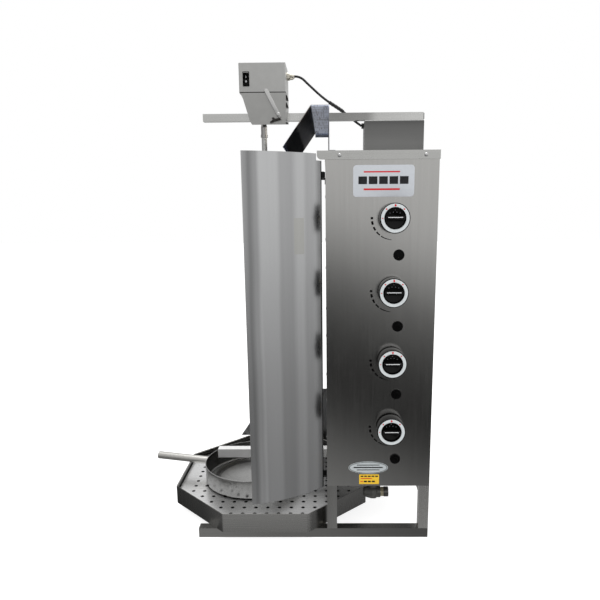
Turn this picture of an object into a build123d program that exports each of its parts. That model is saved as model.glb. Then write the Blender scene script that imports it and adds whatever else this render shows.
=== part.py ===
from build123d import *
from math import cos, pi, radians, sin, tan
import os

# Vertical gas rotisserie broiler, in millimetres.
# Origin: centre of the base frame's footprint, on the floor.
# +X from the meat side to the back of the burner cabinet, -Y the control side, +Z up.

# ---- driving dimensions -------------------------------------------------------------
TUBE = 25.0                      # square frame tube
TUBE_WALL = 2.0
BASE_LENGTH = 590.0              # base tubes, along X
BASE_DEPTH = 490.0               # over the two base tubes, along Y
CABINET_DEPTH = 258.0            # burner cabinet, along X
CABINET_BOTTOM = 143.0
LID_BOTTOM = 938.5
LID_TOP = 958.0
SHEET = 1.2                      # cabinet sheet steel
PLATE = 1.5                      # heavier sheet: tray, riser, deflector

ARM = 19.0                       # square tube of the upper arm
ARM_LEFT = -283.0
ARM_RIGHT = 293.0
ARM_BOTTOM = 1056.0
RISER_LEFT = 138.0              # sheet box under the arm, on the lid
RISER_HALF = 28.0
RISER_TOP = 1054.0

SKEWER_X = -122.0
SKEWER_Y = -24.0                 # the skewer hangs in front of the arm
SKEWER_RADIUS = 7.0

KNOB_X = 193.0
KNOB_HEIGHTS = (301.0, 470.0, 639.0, 808.0)
BUTTON_X = 207.0
BUTTON_DROP = 84.5               # igniter button below its knob
KNOB_FACE = 38.0                 # front of the dial ring, from the panel
KNOB_RADIUS = 34.2
DIAL_RADIUS = 32.0
DIAL_HOLE = 24.6
STEM_RADIUS = 4.0

TRAY_X = -120.0
TRAY_APOTHEM = 264.0
TRAY_TOP = 76.0
INSERT_TOP = 60.0
HOLE_PITCH = 31.0
PAN_X = -176.0
PAN_Y = -19.0
PAN_RADIUS = 141.0
PAN_TOP = 114.0
HANDLE_ANGLE = 170.0             # direction of the pan handle, seen from above
HANDLE_LENGTH = 158.0

SHIELD_HINGE = (31.0, -236.0)
SHIELD_ANGLE = 208.5             # chord of the shield from its hinge, seen from above
SHIELD_WIDTH = 200.0
SHIELD_BOTTOM = 142.5
SHIELD_TOP = 951.0
HINGE_HEIGHTS = (165.0, 894.5)   # underside of each hinge bracket

MOTOR_LEFT = -179.0
MOTOR_RIGHT = -62.0
MOTOR_HALF_DEPTH = 55.0
MOTOR_BOTTOM = 1119.5
MOTOR_TOP = 1188.0
BRACKET_BOTTOM = 1041.0
BRACKET_TOP = 1117.5
FAR_CHEEK_BOTTOM = 1056.0        # the far cheek is shorter than the near one

CABLE_RADIUS = 3.0
CABLE_ROUTE = [                  # from the gland's mouth to the grommet's mouth
    (-43.0, 17.0, 1170.0),
    (-28.0, 17.0, 1170.0),
    (-7.0, 17.0, 1150.0),
    (36.0, 17.0, 1112.0),
    (84.0, 17.0, 1083.0),
    (112.0, 17.0, 1059.0),
    (133.0, 17.0, 1045.0),
]

# ---- sizes that follow from them ----------------------------------------------------
HALF_LENGTH = BASE_LENGTH / 2
HALF_DEPTH = BASE_DEPTH / 2
FRONT = HALF_LENGTH - CABINET_DEPTH          # X of the cabinet's burner side
BACK = HALF_LENGTH
PANEL = -HALF_DEPTH                          # Y of the control panel's face
ARM_TOP = ARM_BOTTOM + ARM
MOTOR_MIDDLE = (MOTOR_LEFT + MOTOR_RIGHT) / 2
GAP = 0.3                                    # between parts that move past each other
RUNNING = 0.05                               # radial clearance of pins and shafts

parts = {}


# ---- helpers ------------------------------------------------------------------------
def block(x, y, z):
    """Solid box between the low and high value of each axis."""
    spans = (x, y, z)
    centre = [(low + high) / 2 for low, high in spans]
    size = [high - low for low, high in spans]
    return Pos(*centre) * Box(*size)


def rod(radius, start, end):
    """Round bar between two points."""
    axis = Vector(*end) - Vector(*start)
    plane = Plane(origin=start, z_dir=axis)
    bottom = (Align.CENTER, Align.CENTER, Align.MIN)
    return plane * Cylinder(radius, axis.length, align=bottom)


def pipe(radius, wall, start, end):
    """Round tube, open at both ends."""
    return rod(radius, start, end) - rod(radius - wall, start, end)


def cone(low_radius, high_radius, start, end):
    """Round taper between two points."""
    axis = Vector(*end) - Vector(*start)
    plane = Plane(origin=start, z_dir=axis)
    bottom = (Align.CENTER, Align.CENTER, Align.MIN)
    return plane * Cone(low_radius, high_radius, axis.length, align=bottom)


def square_tube(x, y, z, along, wall=TUBE_WALL):
    """Square tube between the given limits, hollow along one axis."""
    spans = [x, y, z]
    inside = []
    for axis, (low, high) in zip("xyz", spans):
        inside.append((low, high) if axis == along else (low + wall, high - wall))
    return block(*spans) - block(*inside)


def octagon(apothem, low, high):
    """Regular eight-sided prism about the tray's centre, a flat side to each axis."""
    radius = apothem / cos(pi / 8)
    outline = RegularPolygon(radius, 8, rotation=22.5)
    return Pos(TRAY_X, 0, low) * extrude(outline, high - low)


def folded_sheet(points, thickness, y):
    """Sheet folded along an outline in X and Z, running along Y."""
    fold = Polyline(*[(px, pz) for px, pz in points])
    outline = make_face(offset(fold, thickness, side=Side.LEFT, closed=True).edges())
    plane = Plane(origin=(0, y[0], 0), x_dir=(1, 0, 0), z_dir=(0, -1, 0))
    return plane * extrude(outline, -(y[1] - y[0]))


def save(name, *solids):
    """Keep one node, made of one or more separate solids."""
    pieces = []
    for shape in solids:
        pieces.extend(shape.solids())
    parts[name] = pieces[0] if len(pieces) == 1 else Compound(children=pieces)


# ---- base frame ---------------------------------------------------------------------
def base_frame():
    """Two floor tubes, four posts, and the cross bars that carry the lower arm."""
    tubes = []
    posts = []
    caps = []
    inner = HALF_DEPTH - TUBE
    for near, far in ((-HALF_DEPTH, -inner), (inner, HALF_DEPTH)):
        tubes.append(square_tube((-HALF_LENGTH, HALF_LENGTH), (near, far), (0, TUBE), "x"))
        for left in (FRONT, BACK - TUBE):
            z = (TUBE, CABINET_BOTTOM)
            posts.append(square_tube((left, left + TUBE), (near, far), z, "z"))
        for end in (-1, 1):
            plug = sorted((end * (HALF_LENGTH - 12), end * (HALF_LENGTH - 0.2)))
            y = (near + TUBE_WALL, far - TUBE_WALL)
            caps.append(block(plug, y, (TUBE_WALL, TUBE - TUBE_WALL)))
    save("base_tubes", *tubes)
    save("posts", *posts)

    bars = []
    for left in (FRONT, BACK - TUBE):
        z = (CABINET_BOTTOM - TUBE, CABINET_BOTTOM)
        bars.append(square_tube((left, left + TUBE), (-inner, inner), z, "y"))
    save("cross_bars", *bars)

    arm_y = (-TUBE / 2, TUBE / 2)
    arm_z = (CABINET_BOTTOM - TUBE, CABINET_BOTTOM)
    save("lower_arm", square_tube((ARM_LEFT, FRONT), arm_y, arm_z, "x"))
    lower_plug = (
        (ARM_LEFT + 0.2, ARM_LEFT + 12),
        (arm_y[0] + TUBE_WALL, arm_y[1] - TUBE_WALL),
        (arm_z[0] + TUBE_WALL, arm_z[1] - TUBE_WALL),
    )
    caps.append(block(*lower_plug))
    half = ARM / 2 - TUBE_WALL
    for end in ((ARM_LEFT + 0.2, ARM_LEFT + 10), (ARM_RIGHT - 10, ARM_RIGHT + 2)):
        caps.append(block(end, (-half, half), (ARM_BOTTOM + TUBE_WALL, ARM_TOP - TUBE_WALL)))
    save("tube_caps", *caps)


# ---- cabinet ------------------------------------------------------------------------
def hemmed_panel(low_y, high_y, hem_low, hem_high):
    """Side panel with a folded edge down each upright side."""
    top = LID_TOP - PLATE
    face = block((FRONT, BACK), (low_y, high_y), (CABINET_BOTTOM, top))
    hem = (hem_low, hem_high)
    left = block((FRONT, FRONT + SHEET), hem, (CABINET_BOTTOM, top))
    right = block((BACK - SHEET, BACK), hem, (CABINET_BOTTOM, top))
    return face + left + right


def control_panel():
    """Side panel that carries the knobs and the igniter buttons."""
    panel = hemmed_panel(PANEL, PANEL + SHEET, PANEL, PANEL + 14)
    for height in KNOB_HEIGHTS:
        panel -= rod(6.5, (KNOB_X, PANEL - 1, height), (KNOB_X, PANEL + 3, height))
        low = height - BUTTON_DROP
        panel -= rod(10.0, (BUTTON_X, PANEL - 1, low), (BUTTON_X, PANEL + 3, low))
    save("control_panel", panel)


def far_panel():
    """Plain side panel with a row of cooling slots."""
    panel = hemmed_panel(-PANEL - SHEET, -PANEL, -PANEL - 14, -PANEL)
    for row in range(6):
        z = LID_BOTTOM - 60 - 14 * row
        panel -= block((FRONT + 70, BACK - 70), (-PANEL - 3, -PANEL + 1), (z, z + 4))
    save("far_panel", panel)


def rear_panel():
    """Removable panel on the cabinet's back, with air slots."""
    inside = HALF_DEPTH - SHEET
    y = (-inside, inside)
    top = LID_TOP - PLATE
    panel = block((BACK - 2 * SHEET, BACK - SHEET), y, (CABINET_BOTTOM, top))
    for base in (CABINET_BOTTOM + 70, LID_BOTTOM - 170):
        for row in range(7):
            z = base + 15 * row
            for side in (-1, 1):
                slot = sorted((side * 30, side * 180))
                panel -= block((BACK - 4, BACK), slot, (z, z + 5))
    save("rear_panel", panel)


BURNER_HALF_WIDTH = 175.0
BURNER_HALF_HEIGHT = 66.0
BURNER_FACE = FRONT + 2 * SHEET + 0.8        # burners sit behind the burner frame


def burner_frame():
    """Front sheet of the cabinet, with a window for each burner."""
    inside = HALF_DEPTH - SHEET
    x = (FRONT + SHEET, FRONT + 2 * SHEET)
    sheet = block(x, (-inside, inside), (CABINET_BOTTOM, LID_TOP - PLATE))
    for height in KNOB_HEIGHTS:
        y = (-BURNER_HALF_WIDTH + 10, BURNER_HALF_WIDTH - 10)
        z = (height - BURNER_HALF_HEIGHT + 8, height + BURNER_HALF_HEIGHT - 8)
        sheet -= block((FRONT, FRONT + 5), y, z)
    save("burner_frame", sheet)


def burners():
    """Four infrared burners: a steel box, a ceramic tile and a wire screen each."""
    bodies = []
    tiles = []
    screens = []
    for height in KNOB_HEIGHTS:
        x = (BURNER_FACE, BURNER_FACE + 55)
        y = (-BURNER_HALF_WIDTH, BURNER_HALF_WIDTH)
        z = (height - BURNER_HALF_HEIGHT, height + BURNER_HALF_HEIGHT)
        body = block(x, y, z)
        hollow_y = (y[0] + PLATE, y[1] - PLATE)
        hollow_z = (z[0] + PLATE, z[1] - PLATE)
        body -= block((x[0] - 1, x[1] - PLATE), hollow_y, hollow_z)
        neck = (x[1], -120, height)
        throat = (x[1] + 45, -120, height)
        body += pipe(15, PLATE, (x[1] - PLATE, -120, height), throat)
        body -= rod(15 - PLATE, (x[1] - 3, -120, height), neck)
        bodies.append(body)

        tile_x = (BURNER_FACE + 9, BURNER_FACE + 22)
        tile_y = (y[0] + PLATE, y[1] - PLATE)
        tile_z = (z[0] + PLATE, z[1] - PLATE)
        tiles.append(block(tile_x, tile_y, tile_z))

        screen_x = (BURNER_FACE + 4, BURNER_FACE + 5.5)
        screen = block(screen_x, hollow_y, hollow_z)
        columns = 10
        step = (hollow_y[1] - hollow_y[0] - 12) / columns
        for column in range(columns):
            left = hollow_y[0] + 7 + column * step
            hole_z = (hollow_z[0] + 8, hollow_z[1] - 8)
            screen -= block((BURNER_FACE, BURNER_FACE + 7), (left, left + step - 2), hole_z)
        screens.append(screen)
    save("burner_bodies", *bodies)
    save("burner_tiles", *tiles)
    save("burner_screens", *screens)


REGULATOR_Y = -185.0
REGULATOR_Z = 97.0
BOSS_RISE = 21.0                             # top of the regulator's boss, above its axis
MANIFOLD_Y = -196.0
MANIFOLD_RADIUS = 10.5
VALVE_FRONT = PANEL + 10


def gas_train():
    """Manifold, valves, regulator under the floor, and the inlet nipple."""
    low = CABINET_BOTTOM + 20
    manifold = rod(MANIFOLD_RADIUS, (KNOB_X, MANIFOLD_Y, low), (KNOB_X, MANIFOLD_Y, 850))
    supply_x = KNOB_X - 35
    corner = (supply_x, REGULATOR_Y, low + 12)
    manifold += rod(8, (supply_x, REGULATOR_Y, REGULATOR_Z + BOSS_RISE), corner)
    manifold += Pos(*corner) * Sphere(8)
    manifold += rod(8, corner, (KNOB_X, MANIFOLD_Y, low + 12))
    save("gas_manifold", manifold)

    valves = []
    for height in KNOB_HEIGHTS:
        x = (KNOB_X - 13, KNOB_X + 13)
        y = (VALVE_FRONT, MANIFOLD_Y - MANIFOLD_RADIUS)
        body = block(x, y, (height - 18, height + 18))
        collar = (KNOB_X, VALVE_FRONT - 5, height)
        body += rod(8, collar, (KNOB_X, VALVE_FRONT + 1, height))
        bore = STEM_RADIUS + RUNNING
        body -= rod(bore, (KNOB_X, VALVE_FRONT - 6, height), (KNOB_X, VALVE_FRONT + 18, height))
        jet = (KNOB_X - 40, (y[0] + y[1]) / 2, height)
        body += rod(6, jet, (KNOB_X - 12, jet[1], height))
        valves.append(body)
    save("gas_valves", *valves)

    profile = Polyline(
        (-26, 0),
        (-26, 9),
        (-22, 13),
        (-12, 16),
        (-4, 18),
        (6, 18),
        (10, 15),
        (19, 15),
        (19, 10),
        (2, 10),
        (2, 0),
        close=True,
    )
    plane = Plane(origin=(supply_x, REGULATOR_Y, REGULATOR_Z), x_dir=(1, 0, 0), z_dir=(0, 1, 0))
    body = revolve(plane * make_face(profile), Axis((supply_x, REGULATOR_Y, REGULATOR_Z), (1, 0, 0)))
    boss_foot = (supply_x, REGULATOR_Y, REGULATOR_Z + 12)
    body += rod(11, boss_foot, (supply_x, REGULATOR_Y, REGULATOR_Z + BOSS_RISE))
    save("gas_regulator", body)

    start = supply_x + 2
    end = supply_x + 40
    nipple = rod(10, (start, REGULATOR_Y, REGULATOR_Z), (end, REGULATOR_Y, REGULATOR_Z))
    hexagon = extrude(RegularPolygon(13.5, 6), 7)
    nut = Plane(origin=(supply_x + 20, REGULATOR_Y, REGULATOR_Z), z_dir=(1, 0, 0)) * hexagon
    nipple += nut
    nipple -= rod(INLET_RADIUS, (start - 1, REGULATOR_Y, REGULATOR_Z), (end + 1, REGULATOR_Y, REGULATOR_Z))
    save("inlet_nipple", nipple)


INLET_RADIUS = 6.5


def cabinet_floor():
    """Bottom sheet of the cabinet, on top of the posts."""
    inside = HALF_DEPTH - SHEET
    x = (FRONT + 2 * SHEET, BACK - 2 * SHEET)
    floor = block(x, (-inside, inside), (CABINET_BOTTOM, CABINET_BOTTOM + SHEET))
    hole = (KNOB_X - 35, REGULATOR_Y)
    floor -= rod(9, (*hole, CABINET_BOTTOM - 1), (*hole, CABINET_BOTTOM + 3))
    save("cabinet_floor", floor)


def lid():
    """Cap over the cabinet, with a tab that reaches out over the shield's hinge."""
    left = FRONT - PLATE
    right = BACK + PLATE
    half = HALF_DEPTH + 2
    cap = block((left, right), (-half, half), (LID_BOTTOM, LID_TOP))
    inner_x = (FRONT, BACK + 0.2)
    cap -= block(inner_x, (-half + PLATE, half - PLATE), (LID_BOTTOM - 1, LID_TOP - PLATE))
    cap -= block((left - 1, FRONT), (-half + PLATE, half + 1), (LID_BOTTOM - 1, LID_BOTTOM + 9))
    tab = block((FRONT - 19, left), (-half, -half + PLATE), (LID_BOTTOM, LID_TOP))
    corner = [
        edge
        for edge in tab.edges().filter_by(Axis.Y)
        if edge.center().Z < LID_BOTTOM + 0.1 and edge.center().X < left - 1
    ]
    save("lid", cap + fillet(corner, 10))

    screws = []
    for x in (FRONT + 32, BACK - 31):
        for side in (-1, 1):
            face = (x, side * half, LID_BOTTOM + 9)
            head = (x, side * (half + 2.2), LID_BOTTOM + 9)
            screws.append(cone(4.2, 2.4, face, head))
    save("lid_screws", *screws)


def riser():
    """Sheet box on the lid that holds up the upper arm on a pad."""
    box = block((RISER_LEFT, BACK - 3), (-RISER_HALF, RISER_HALF), (LID_TOP, RISER_TOP))
    rim = [edge for edge in box.edges() if edge.center().Z > RISER_TOP - 0.1]
    box = fillet(rim, 4)
    inner_x = (RISER_LEFT + PLATE, BACK - 3 - PLATE)
    inner_half = RISER_HALF - PLATE
    inner = block(inner_x, (-inner_half, inner_half), (LID_TOP - 1, RISER_TOP - PLATE))
    long_edges = inner.edges().filter_by(Axis.X)
    inner_rim = [edge for edge in long_edges if edge.center().Z > RISER_TOP - PLATE - 0.1]
    box -= fillet(inner_rim, 4 - PLATE)
    box += block((RISER_LEFT + 8, BACK - 8), (-ARM / 2, ARM / 2), (RISER_TOP, ARM_BOTTOM))
    end, y, z = CABLE_ROUTE[-1]
    box -= rod(5.5, (RISER_LEFT - 2, y, z), (RISER_LEFT + 3, y, z))
    save("riser", box)
    grommet = rod(5.4, (RISER_LEFT, y, z), (RISER_LEFT + PLATE, y, z))
    grommet += rod(7, (end, y, z), (RISER_LEFT, y, z))
    grommet += rod(7, (RISER_LEFT + PLATE, y, z), (RISER_LEFT + 4, y, z))
    save("cable_grommet", grommet)


def upper_arm():
    """Square tube that the motor carriage slides on."""
    y = (-ARM / 2, ARM / 2)
    save("upper_arm", square_tube((ARM_LEFT, ARM_RIGHT), y, (ARM_BOTTOM, ARM_TOP), "x"))


def heat_deflector():
    """Bright sheet under the arm that turns the burner heat away from the motor."""
    top = ARM_BOTTOM - PLATE
    points = [
        (60, LID_TOP),
        (45, LID_TOP),
        (45, top),
        (6, top),
        (-57, 967),
        (-50, 957),
    ]
    half = HALF_DEPTH - 2
    sheet = folded_sheet(points, -PLATE, (-half, half))
    lip = block((6, 45), (half - PLATE, half), (top - 11, top + 0.5))
    save("heat_deflector", sheet + lip)


def label_plates():
    """Three plain plates on the control panel, with nothing written on them."""
    face = Plane(origin=(0, PANEL, 0), x_dir=(1, 0, 0), z_dir=(0, -1, 0))
    name_plate = Pos(169.5, 891) * RectangleRounded(139, 70, 8)
    oval_plate = Pos(140.5, 192.5) * Ellipse(49.5, 16.5)
    caution_plate = Pos(143, 161) * Rectangle(50, 26)
    plates = []
    for outline in (name_plate, oval_plate, caution_plate):
        plates.append(face * extrude(outline, 0.6))
    save("label_plates", *plates)


# ---- controls -----------------------------------------------------------------------
def knob_set(number, height):
    """Valve stem, knob and dial ring at one height."""
    stem = rod(
        STEM_RADIUS,
        (KNOB_X, PANEL - 30, height),
        (KNOB_X, VALVE_FRONT + 12, height),
    )
    save(f"valve_stem_{number}", stem)

    back = PANEL - 5.5
    ring_back = PANEL - KNOB_FACE + 2
    body = cone(KNOB_RADIUS, KNOB_RADIUS - 0.2, (KNOB_X, back, height), (KNOB_X, ring_back, height))
    body -= rod(DIAL_HOLE - 2, (KNOB_X, ring_back - 1, height), (KNOB_X, ring_back + 7, height))
    front = PANEL - KNOB_FACE
    grip = block(
        (KNOB_X - DIAL_HOLE + 0.6, KNOB_X + DIAL_HOLE - 0.6),
        (front - 6, ring_back + 9),
        (height - 5, height + 5),
    )
    grip = grip & rod(DIAL_HOLE - 0.6, (KNOB_X, front - 6, height), (KNOB_X, ring_back + 9, height))
    grip_edges = [edge for edge in grip.edges() if edge.center().Y < front - 5.9]
    body += fillet(grip_edges, 2)
    collar = pipe(DIAL_HOLE - 0.3, 3.5, (KNOB_X, front + 0.8, height), (KNOB_X, ring_back + 0.5, height))
    body += collar
    bore = STEM_RADIUS + RUNNING
    body -= rod(bore, (KNOB_X, back + 1, height), (KNOB_X, PANEL - 30 - GAP, height))
    body -= rod(22, (KNOB_X, back + 1, height), (KNOB_X, back - 12, height)) - rod(
        10, (KNOB_X, back + 1, height), (KNOB_X, back - 12, height)
    )
    save(f"knob_{number}", body)

    ring = pipe(
        DIAL_RADIUS,
        DIAL_RADIUS - DIAL_HOLE,
        (KNOB_X, front, height),
        (KNOB_X, ring_back, height),
    )
    save(f"dial_ring_{number}", ring)


def igniter_button(number, height):
    """Push button in its bezel."""
    low = height - BUTTON_DROP
    button = rod(7, (BUTTON_X, PANEL - 6, low), (BUTTON_X, PANEL + 14, low))
    rim = [edge for edge in button.edges() if edge.center().Y < PANEL - 5.9]
    save(f"igniter_button_{number}", fillet(rim, 1.2))
    bezel = rod(13, (BUTTON_X, PANEL, low), (BUTTON_X, PANEL - 3.5, low))
    bezel_rim = [edge for edge in bezel.edges() if edge.center().Y < PANEL - 3.4]
    bezel = fillet(bezel_rim, 1.5)
    bezel += rod(9.9, (BUTTON_X, PANEL - 1, low), (BUTTON_X, PANEL + 18, low))
    bore = 7 + RUNNING
    bezel -= rod(bore, (BUTTON_X, PANEL - 5, low), (BUTTON_X, PANEL + 17.5, low))
    return bezel


# ---- near shield --------------------------------------------------------------------
KNUCKLE_RADIUS = 5.5
PIN_RADIUS = 3.0
KNUCKLE_LENGTH = 12.5
BRACKET_PLATE = 5.0                          # thickness of each hinge bracket


def hinge_brackets():
    """Two brackets on the cabinet, each with a pin that the shield lifts off."""
    x, y = SHIELD_HINGE
    brackets = []
    for low in HINGE_HEIGHTS:
        high = low + BRACKET_PLATE
        plate = rod(5, (x, y, low), (x, y, high))
        plate += block((x, FRONT - PLATE), (y - 3, y + 5), (low, high))
        flange = block((FRONT - PLATE, FRONT), (y + 1, y + 22), (low - 9, high))
        pin = rod(PIN_RADIUS, (x, y, high - 1), (x, y, high + KNUCKLE_LENGTH + 1))
        brackets.append(plate + flange + pin)
    save("hinge_brackets", *brackets)


def near_shield():
    """Curved wing sheet, with a turned edge and two knuckles at the hinge."""
    stand = 9.0                              # chord of the sheet, out from the pins
    turn = 7.0
    bulge = 14.0
    start = (5.0, -2.0)
    bend_start = (5.0, stand - turn)
    bend_end = (5.0 + turn, stand)
    free_edge = (SHIELD_WIDTH, stand)
    middle = ((bend_end[0] + free_edge[0]) / 2, stand + bulge)
    outline = Line(start, bend_start)
    outline += RadiusArc(bend_start, bend_end, turn)
    outline += ThreePointArc(bend_end, middle, free_edge)
    face = make_face(offset(Wire(outline.edges()), SHEET, side=Side.RIGHT, closed=True).edges())
    sheet = extrude(face, SHIELD_TOP - SHIELD_BOTTOM)
    sheet = Pos(0, 0, SHIELD_BOTTOM) * sheet
    notch_bottom = LID_BOTTOM - 2.5
    sheet -= block((-8, 23), (-6, 30), (notch_bottom, SHIELD_TOP + 1))
    for low in HINGE_HEIGHTS:
        base = low + BRACKET_PLATE + GAP
        knuckle = pipe(
            KNUCKLE_RADIUS,
            KNUCKLE_RADIUS - PIN_RADIUS - RUNNING,
            (0, 0, base),
            (0, 0, base + KNUCKLE_LENGTH - GAP),
        )
        sheet -= rod(KNUCKLE_RADIUS + 0.7, (0, 0, low - 0.5), (0, 0, base))
        sheet += knuckle
    x, y = SHIELD_HINGE
    save("near_shield", Location((x, y, 0), (0, 0, SHIELD_ANGLE)) * sheet)


# ---- drip tray ----------------------------------------------------------------------
def drip_tray():
    """Eight-sided tray that rests on the base tubes, with its perforated insert."""
    floor = TUBE + GAP
    tray = octagon(TRAY_APOTHEM, floor, TRAY_TOP)
    tray -= octagon(TRAY_APOTHEM - PLATE, floor + PLATE, TRAY_TOP + 1)
    save("drip_tray", tray)

    base = floor + PLATE
    outer = TRAY_APOTHEM - PLATE - 3
    insert = octagon(outer, base, INSERT_TOP)
    insert -= octagon(outer - PLATE, base - 1, INSERT_TOP - PLATE)
    holes = []
    rows = int(TRAY_APOTHEM / HOLE_PITCH) + 1
    for row in range(-rows, rows):
        y = (row + 0.5) * HOLE_PITCH
        for column in range(-rows, rows + 1):
            x = column * HOLE_PITCH
            diagonal = (abs(x) + abs(y)) / 2**0.5
            if max(abs(x), abs(y), diagonal) < outer - 16:
                low = (TRAY_X + x, y, INSERT_TOP - 5)
                holes.append(rod(4, low, (TRAY_X + x, y, INSERT_TOP + 5)))
    insert = insert - Compound(children=holes)
    save("tray_insert", insert)

    guard = Polyline(
        (-225, 34),
        (-225, 77),
        (-256, 77),
        (-145, 241),
        (40, 241),
        (40, 34),
        close=True,
    )
    wall = TRAY_APOTHEM + 0.1
    plane = Plane(origin=(0, wall, 0), x_dir=(1, 0, 0), z_dir=(0, -1, 0))
    save("splash_guard", plane * extrude(make_face(guard), -PLATE))


def catch_pan():
    """Round pan under the skewer, with a tubular handle."""
    bottom = INSERT_TOP + GAP
    centre = (PAN_X, PAN_Y)
    pan = rod(PAN_RADIUS, (*centre, bottom), (*centre, PAN_TOP))
    base_edge = [edge for edge in pan.edges() if edge.center().Z < bottom + 0.1]
    pan = fillet(base_edge, 5)
    cavity = rod(PAN_RADIUS - PLATE, (*centre, bottom + PLATE), (*centre, PAN_TOP + 1))
    cavity_edge = [edge for edge in cavity.edges() if edge.center().Z < bottom + PLATE + 0.1]
    pan -= fillet(cavity_edge, 4)
    save("catch_pan", pan)

    turn = radians(HANDLE_ANGLE)
    root = PAN_RADIUS - 0.5
    tip = PAN_RADIUS + HANDLE_LENGTH
    start = (PAN_X + root * cos(turn), PAN_Y + root * sin(turn), PAN_TOP - 13)
    end = (PAN_X + tip * cos(turn), PAN_Y + tip * sin(turn), PAN_TOP - 7)
    handle = pipe(11, PLATE, start, end)
    handle -= rod(PAN_RADIUS, (*centre, bottom), (*centre, PAN_TOP + 10))
    save("pan_handle", handle)


# ---- motor carriage -----------------------------------------------------------------
SLEEVE_LEFT = -150.0
SLEEVE_RIGHT = -76.0
CLAMP = (-82.0, 1065.5)                      # X and Z of the clamp screw


def motor_bracket():
    """Sheet carriage around the arm, with tapered cheeks and a louvred end."""
    half = MOTOR_HALF_DEPTH
    cheek = Polyline(
        (MOTOR_LEFT + 2, BRACKET_TOP),
        (-170, 1103),
        (-154, 1049),
        (-149, BRACKET_BOTTOM),
        (MOTOR_RIGHT - 1, BRACKET_BOTTOM),
        (MOTOR_RIGHT, BRACKET_TOP),
        close=True,
    )
    plane = Plane(origin=(0, -half, 0), x_dir=(1, 0, 0), z_dir=(0, -1, 0))
    solid = plane * extrude(make_face(cheek), -2 * half)
    hollow_x = (MOTOR_LEFT - 5, MOTOR_RIGHT - 1 - PLATE)
    hollow_z = (BRACKET_BOTTOM - 1, BRACKET_TOP - PLATE)
    bracket = solid - block(hollow_x, (-half + PLATE, half - PLATE), hollow_z)
    far_y = (-half + PLATE, half + 1)
    bracket -= block((MOTOR_LEFT, MOTOR_RIGHT + 1), far_y, (BRACKET_BOTTOM - 1, FAR_CHEEK_BOTTOM))
    arm_slot = (ARM_BOTTOM - 4, ARM_TOP + 4)
    bracket -= block((MOTOR_RIGHT - 4, MOTOR_RIGHT + 1), (-ARM / 2 - 4, ARM / 2 + 4), arm_slot)
    for low in (1086.0, 1104.0):
        vent = (-half + 8, -ARM / 2 - 12)
        bracket -= block((MOTOR_RIGHT - 4, MOTOR_RIGHT + 1), vent, (low, low + 7))

    slack = ARM / 2 + 0.4
    sleeve = block(
        (SLEEVE_LEFT, SLEEVE_RIGHT),
        (-slack - 2, slack + 2),
        (ARM_BOTTOM - 2.4, ARM_TOP + 2.4),
    )
    web_z = ((ARM_BOTTOM + ARM_TOP) / 2 + 3, (ARM_BOTTOM + ARM_TOP) / 2 + 6)
    sleeve += block((SLEEVE_LEFT + 4, SLEEVE_LEFT + 12), (-half + 1, half - 1), web_z)
    sleeve += block((-97, -93), (-half + 1, half - 1), web_z)
    sleeve -= block(
        (SLEEVE_LEFT - 1, SLEEVE_RIGHT + 1),
        (-slack, slack),
        (ARM_BOTTOM - 0.4, ARM_TOP + 0.4),
    )
    bracket += sleeve
    for side in (-1, 1):
        tab_y = sorted((side * (half - SHEET), side * (half - SHEET - 4)))
        tab_z = (BRACKET_TOP - 1, MOTOR_BOTTOM + 10)
        bracket += block((MOTOR_LEFT + SHEET, MOTOR_LEFT + 9), tab_y, tab_z)
        bracket += block((MOTOR_RIGHT - 9, MOTOR_RIGHT - SHEET), tab_y, tab_z)
    x, z = CLAMP
    bracket -= rod(4 + RUNNING, (x, -half - 1, z), (x, -slack + 1, z))
    bracket -= rod(8, (SKEWER_X, SKEWER_Y, BRACKET_TOP - 5), (SKEWER_X, SKEWER_Y, BRACKET_TOP + 1))
    save("motor_bracket", bracket)


SWITCH_X = (-168.0, -154.0)
SWITCH_Z = (1134.0, 1165.0)
GLAND_Y = CABLE_ROUTE[0][1]
GLAND_Z = CABLE_ROUTE[0][2]


def motor_cover():
    """Painted box over the gearmotor."""
    half = MOTOR_HALF_DEPTH
    cover = block((MOTOR_LEFT, MOTOR_RIGHT), (-half, half), (MOTOR_BOTTOM, MOTOR_TOP))
    upright = cover.edges().filter_by(Axis.Z)
    cover = fillet(upright, 2)
    cover -= block(
        (MOTOR_LEFT + SHEET, MOTOR_RIGHT - SHEET),
        (-half + SHEET, half - SHEET),
        (MOTOR_BOTTOM - 1, MOTOR_TOP - SHEET),
    )
    cover -= block(SWITCH_X, (-half - 1, -half + 3), SWITCH_Z)
    cover -= rod(7, (MOTOR_RIGHT - 3, GLAND_Y, GLAND_Z), (MOTOR_RIGHT + 1, GLAND_Y, GLAND_Z))
    save("motor_cover", cover)


def gearmotor():
    """Gearbox and motor on the bracket's top plate."""
    gearbox = block((-160, -84), (-46, 30), (BRACKET_TOP, 1152))
    upright = gearbox.edges().filter_by(Axis.Z)
    gearbox = fillet(upright, 5)
    bore = 6 + RUNNING
    gearbox -= rod(bore, (SKEWER_X, SKEWER_Y, BRACKET_TOP - 1), (SKEWER_X, SKEWER_Y, 1142))
    motor = rod(14, (-122, 10, 1151), (-122, 10, 1182))
    save("gearmotor", gearbox + motor)


def rocker_switch():
    """Power switch in the front of the cover."""
    front = -MOTOR_HALF_DEPTH
    low, high = SWITCH_Z
    middle = (low + high) / 2
    profile = Polyline(
        (front - 1.5, low + 1.2),
        (front - 1.0, middle),
        (front - 4.5, high - 1.2),
        (front + 6.0, high - 4.5),
        (front + 6.0, low + 4.5),
        close=True,
    )
    width = (SWITCH_X[0] + 1.0, SWITCH_X[1] - 1.0)
    plane = Plane(origin=(width[0], 0, 0), x_dir=(0, 1, 0), z_dir=(1, 0, 0))
    save("rocker_switch", plane * extrude(make_face(profile), width[1] - width[0]))


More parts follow.
